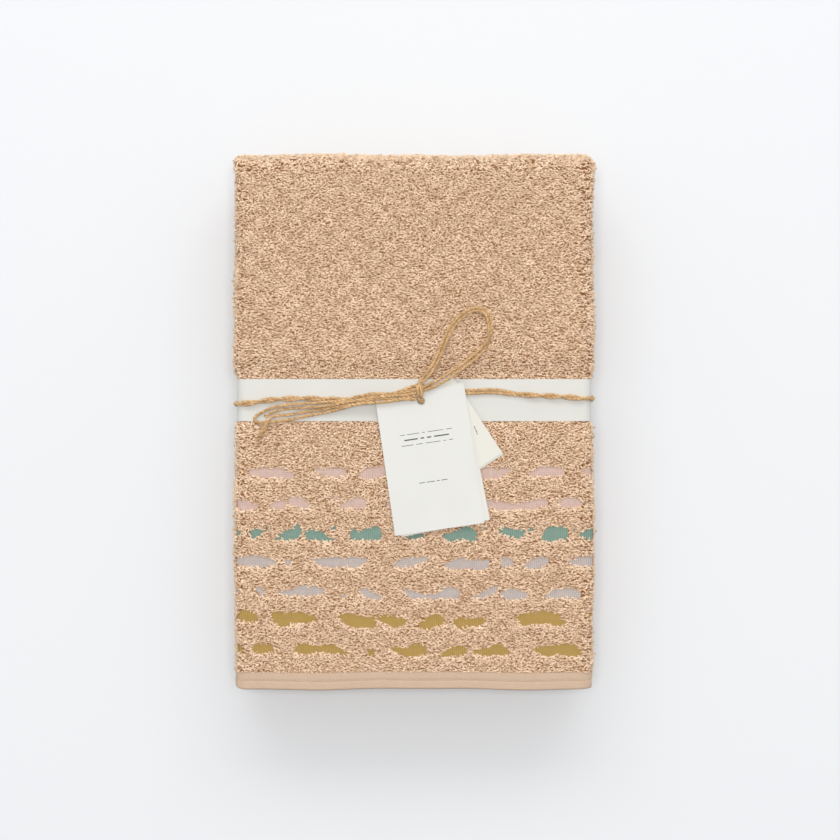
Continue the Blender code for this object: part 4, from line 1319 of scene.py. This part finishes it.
def makeTwine(material):
    print("twine: wraps")
    back, front = wrapPath(0.0), wrapPath(-wrapRoute["pitch"])
    pair = twistPair(back, front)
    wraps = (
        ("twineWrapBack", "twine_wrap_back", pair[0], 3),
        ("twineWrapFront", "twine_wrap_front", pair[1], 4),
    )
    for name, node, path, seed in wraps:
        piece = joinSkins(name, plySkins(path, twine["diameter"], seed), material)
        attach(piece, "stack")
        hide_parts(node)
        skins = fuzzSkins(path, 520, 2.8 * mm, twine["diameter"] / 2, seed + 40, underTags=True)
        fuzz = joinSkins(name + "Fuzz", skins, material)
        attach(fuzz, "stack")
    print("twine: bow, loop and ends")
    lays = {
        "bow_loop_outer": ("bowLoopOuter", "object", 0.0, 220),
        "bow_loop_inner": ("bowLoopInner", "object", 0.0, 200),
        "left_loop": ("leftLoop", "object", 0.0, 330),
        "upper_end": ("upperEnd", "bare", 3 * mm, 160),
        "lower_end": ("lowerEnd", "bare", 13 * mm, 180),
    }
    for seed, (node, (name, farEnd, frayed, hairs)) in enumerate(lays.items(), 7):
        path = evenSteps(smoothRoute(overBand(twineRoutes[node]), twine["step"]), twine["step"])
        path = settle(path, node, seed)
        strands = plySkins(path, twine["diameter"], seed, frayed)
        if node == "lower_end":
            strands += frayedTips(path, 16 * mm, seed)
        piece = joinSkins(name, strands, material)
        skins = fuzzSkins(path, hairs, 2.4 * mm, twine["diameter"] / 2, seed + 60)
        if node == "lower_end":
            skins += fuzzSkins(path, 150, 5 * mm, 0.5 * mm, 99, fromArc=arcLength(path)[-1] - 9 * mm)
        fuzz = joinSkins(name + "Fuzz", skins, material)
        for part in (piece, fuzz):
            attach(part, "stack")
        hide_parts(node)
    makeKnot(material)
    route = evenSteps(smoothRoute(overBand(tagLoop["route"]), 0.4 * mm), 0.5 * mm)
    beside = np.array(tagLoop["beside"]) * mm
    strands = plySkins(route + beside, tagLoop["diameter"] * tagLoop["fullness"], 17)
    strands += plySkins(route - beside, tagLoop["diameter"] * tagLoop["fullness"], 18)
    piece = joinSkins("tagLoop", strands, material)
    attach(piece, "stack")
    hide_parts("tag_loop")


knot = {
    "middle": (4.2, 21.5, 7.4),
    "reach": (0.0, 3.5, 2.3),
    "turns": 2.0,
    "wide": 5.0,
    "strand": 2.0 * mm,
}


def makeKnot(material):
    # turns of the strand round the bundle, the strands through them, and the stem down to the wraps
    k = knot
    share = np.linspace(0, 1, 90)
    angle = 2 * math.pi * k["turns"] * share + 0.6
    middle = np.array(k["middle"])
    coil = np.stack([
        middle[0] + k["wide"] * (share - 0.5) + 0.5 * np.sin(angle),
        middle[1] + k["reach"][1] * np.cos(angle) - 0.25 * k["wide"] * (share - 0.5),
        middle[2] + k["reach"][2] * np.sin(angle),
    ], 1)
    through = [
        [(-1.0, 22.0, 7.4), (2, 22.3, 7.6), (5, 23.4, 7.6), (8.4, 24.9, 7.0)],
        [(-1.0, 19.8, 7.0), (2, 20.3, 7.0), (5, 21.2, 7.1), (8.6, 22.2, 6.9)],
        [(1.8, 17.2, 6.8), (3.2, 19.0, 7.4), (3.4, 23, 8.0), (3.6, 27.4, 8.2)],
    ]
    turns = np.linspace(0, 1, 60)
    stem = np.stack([
        4.2 + 0.75 * np.cos(turns * 4 * math.pi),
        24.6 + 0.75 * np.sin(turns * 4 * math.pi),
        1.3 + 6.0 * turns,
    ], 1)
    skins = plySkins(evenSteps(overBand(coil), 0.6 * mm), k["strand"], 51)
    for seed, route in enumerate(through, 52):
        path = evenSteps(smoothRoute(overBand(route), 0.6 * mm), 0.6 * mm)
        skins += plySkins(path, k["strand"], seed)
    skins += plySkins(evenSteps(overBand(stem), 0.6 * mm), 1.6 * mm, 56)
    piece = joinSkins("twineKnot", skins, material)
    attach(piece, "stack")
    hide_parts("twine_knot")


# A plain printed pattern: rows of short ink strokes, in mm on the card from its top left.
cardPrint = {
    "width": 63,
    "lift": 0.03 * mm,
    "leafletAt": (42.2 * mm, -3.4 * mm),
    "leafletStrokes": [(0, 1.1), (1.7, 2.5), (3.1, 4.6), (5.3, 6.0)],
    "leafletTurn": (0.37, -0.93),
    "rows": [
        (29.2, [(13.5, 17), (18.5, 27), (29, 31), (33, 44), (46, 50)], 0.42),
        (33.0, [(16, 25.5), (27.5, 30), (32, 35), (37, 47.5)], 0.95),
        (36.8, [(13.5, 22), (24, 28.5), (30.5, 41), (43, 45), (47, 50)], 0.42),
        (64.0, [(22, 26), (27.2, 33), (34.4, 36.4), (37.6, 42)], 0.5),
    ],
}


def makePrint(material):
    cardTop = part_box("front_card")[1].z
    topLeft, alongTop, downSide = cardCorners(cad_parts["front_card"])
    points, faces = [], []
    for down, strokes, thick in cardPrint["rows"]:
        for start, end in strokes:
            total = len(points)
            for across, below in ((start, down - thick / 2), (end, down - thick / 2),
                                  (end, down + thick / 2), (start, down + thick / 2)):
                place = topLeft + alongTop * (across * mm) + downSide * (below * mm)
                points.append((place[0], place[1], cardTop + cardPrint["lift"]))
            faces.append([total + 3, total + 2, total + 1, total])
    piece = meshObject("cardPrint", points, faces, material, smooth=False)
    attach(piece, "front_card")
    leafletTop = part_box("leaflet")[1].z
    marks, faces = [], []
    along = np.array(cardPrint["leafletTurn"])
    beside = np.array([-along[1], along[0]])
    for start, end in cardPrint["leafletStrokes"]:
        total = len(marks)
        for down, across in ((start, -0.35), (end, -0.35), (end, 0.35), (start, 0.35)):
            place = np.array(cardPrint["leafletAt"]) + along * down * mm + beside * across * mm
            marks.append((place[0], place[1], leafletTop + cardPrint["lift"]))
        faces.append([total, total + 1, total + 2, total + 3])
    piece = meshObject("leafletPrint", marks, faces, material, smooth=False)
    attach(piece, "leaflet")


def cardCorners(node):
    # the card's top left corner and the directions along its top edge and down its side, seen from above
    places = np.array([node.matrix_world @ vertex.co for vertex in node.data.vertices])[:, :2]
    topRight = places[np.argmax(places[:, 0] * 0.14 + places[:, 1])]
    right = places[np.argmax(places[:, 0] - places[:, 1] * 0.14)]
    downSide = (right - topRight) / (np.linalg.norm(right - topRight) + 1e-12)
    if np.linalg.norm(right - topRight) < 50 * mm:
        downSide = np.array([0.144, -0.99])
    alongTop = np.array([-downSide[1], downSide[0]])
    return topRight - alongTop * (cardPrint["width"] * mm), alongTop, downSide


def makeTags(materials):
    print("tags and paper band")
    papers = {"belly_band": "band", "front_card": "card", "second_card": "cardBack", "leaflet": "leaflet"}
    for node, paper in papers.items():
        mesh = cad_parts[node].data
        mesh.materials.clear()
        mesh.materials.append(materials[paper])
    makePrint(materials["ink"])


studio = {
    "cameraHeight": 1.389,
    "lens": 85,
    "aim": (4.2 * mm, 1.05 * mm),
    "floor": (0.755, 0.762, 0.775, 1),
    "floorReach": 6.0,
    "room": 1.0,
    "lights": [
        ("overheadLight", (0.0, 0.16, 3.6), (1.28, 0.74), 65.0, (1.0, 0.995, 0.985)),
        ("windowLight", (0.0, 2.2, 1.9), (3.4, 1.0), 28.6, (0.98, 0.99, 1.0)),
    ],
}


def makeStudio():
    print("floor, lights and camera")
    material, nodes, links, shader = newMaterial("studioFloor", 0.9)
    place = addNode(nodes, "ShaderNodeTexCoord").outputs["Object"]
    grain = noiseNode(nodes, links, place, Scale=3.0, Detail=2.0)
    colour = mixColours(nodes, links, grain, shaded(studio["floor"], 0.99), studio["floor"])
    links.new(colour, shader.inputs["Base Color"])
    reach = studio["floorReach"]
    corners = [(-reach, -reach, 0), (reach, -reach, 0), (reach, reach, 0), (-reach, reach, 0)]
    floor = meshObject("floor", corners, [[0, 1, 2, 3]], material, smooth=False)
    scene = bpy.context.scene
    scene.view_settings.view_transform = "Standard"
    world = bpy.data.worlds.new("softRoom")
    scene.world = world
    world.use_nodes = True
    nodes, links = world.node_tree.nodes, world.node_tree.links
    backdrop = nodes["Background"]
    direction = addNode(nodes, "ShaderNodeTexCoord")
    axes = addNode(nodes, "ShaderNodeSeparateXYZ")
    links.new(direction.outputs["Generated"], axes.inputs[0])
    # the room is bright on the window side (+Y) and dim on the other
    bright = mathNode(nodes, links, "MULTIPLY_ADD", axes.outputs["Y"], 0.5, 0.5)
    bright = mathNode(nodes, links, "MAXIMUM", bright, 0.4)
    links.new(mathNode(nodes, links, "MULTIPLY", bright, studio["room"]), backdrop.inputs["Strength"])
    backdrop.inputs["Color"].default_value = (0.96, 0.98, 1.0, 1)
    for name, at, size, power, colour in studio["lights"]:
        light = bpy.data.lights.new(name, "AREA")
        light.shape = "RECTANGLE"
        light.size, light.size_y = size
        light.energy = power
        light.color = colour
        lamp = bpy.data.objects.new(name, light)
        scene.collection.objects.link(lamp)
        lamp.location = at
        aim = Vector((0, 0, 0.03)) - Vector(at)
        lamp.rotation_euler = aim.to_track_quat("-Z", "Y").to_euler()
    data = bpy.data.cameras.new("camera")
    data.lens = studio["lens"]
    data.sensor_width = 36
    camera = bpy.data.objects.new("camera", data)
    camera.location = (*studio["aim"], stackTop + studio["cameraHeight"])
    scene.collection.objects.link(camera)
    scene.camera = camera


# A lighter and a darker copy of each colour of dash, for painted light along the thread rows and painted
# shade between them, and the pale warp that shows between the coloured threads.
dashLitAndShaded = {
    "pink": ((0.76, 0.545, 0.48, 1), (0.54, 0.36, 0.30, 1)),
    "teal": ((0.25, 0.42, 0.345, 1), (0.085, 0.17, 0.135, 1)),
    "lilac": ((0.62, 0.535, 0.51, 1), (0.40, 0.335, 0.31, 1)),
    "ochre": ((0.56, 0.345, 0.065, 1), (0.30, 0.165, 0.02, 1)),
}
paleWarp = (0.84, 0.74, 0.60, 1)


def makeMaterials():
    print("materials")
    dashes = {}
    for colour, (light, dark) in dashLitAndShaded.items():
        dashes[colour] = weaveMaterial(f"dash{colour.capitalize()}", light, dark, speck=paleWarp)
    return {
        "pile": pileMaterial(),
        "ground": groundMaterial("terryGround", (0.72, 0.47, 0.28, 1)),
        "handGround": groundMaterial("handTerryGround", (0.86, 0.60, 0.39, 1)),
        "hem": hemMaterial(),
        # the stitch thread in a lighter and a darker copy: painted light and painted shade along it
        "stitch": weaveMaterial("hemThread", terryLook["stitch"], (0.5, 0.34, 0.22, 1), 0.5 * mm, 0.0001),
        "dashes": dashes,
        "jute": juteMaterial(),
        "band": paperMaterial("bandPaper", (0.675, 0.665, 0.62)),
        "card": paperMaterial("cardBoard", (0.715, 0.705, 0.665)),
        "cardBack": paperMaterial("secondBoard", (0.71, 0.69, 0.635)),
        "leaflet": paperMaterial("leafletPaper", (0.73, 0.705, 0.635)),
        "ink": paperMaterial("greyInk", (0.13, 0.13, 0.135)),
    }


makeStudio()
looks = makeMaterials()
makeTwine(looks["jute"])
makeTags(looks)
makeHandTowel(looks)
makeBathTowel(looks)
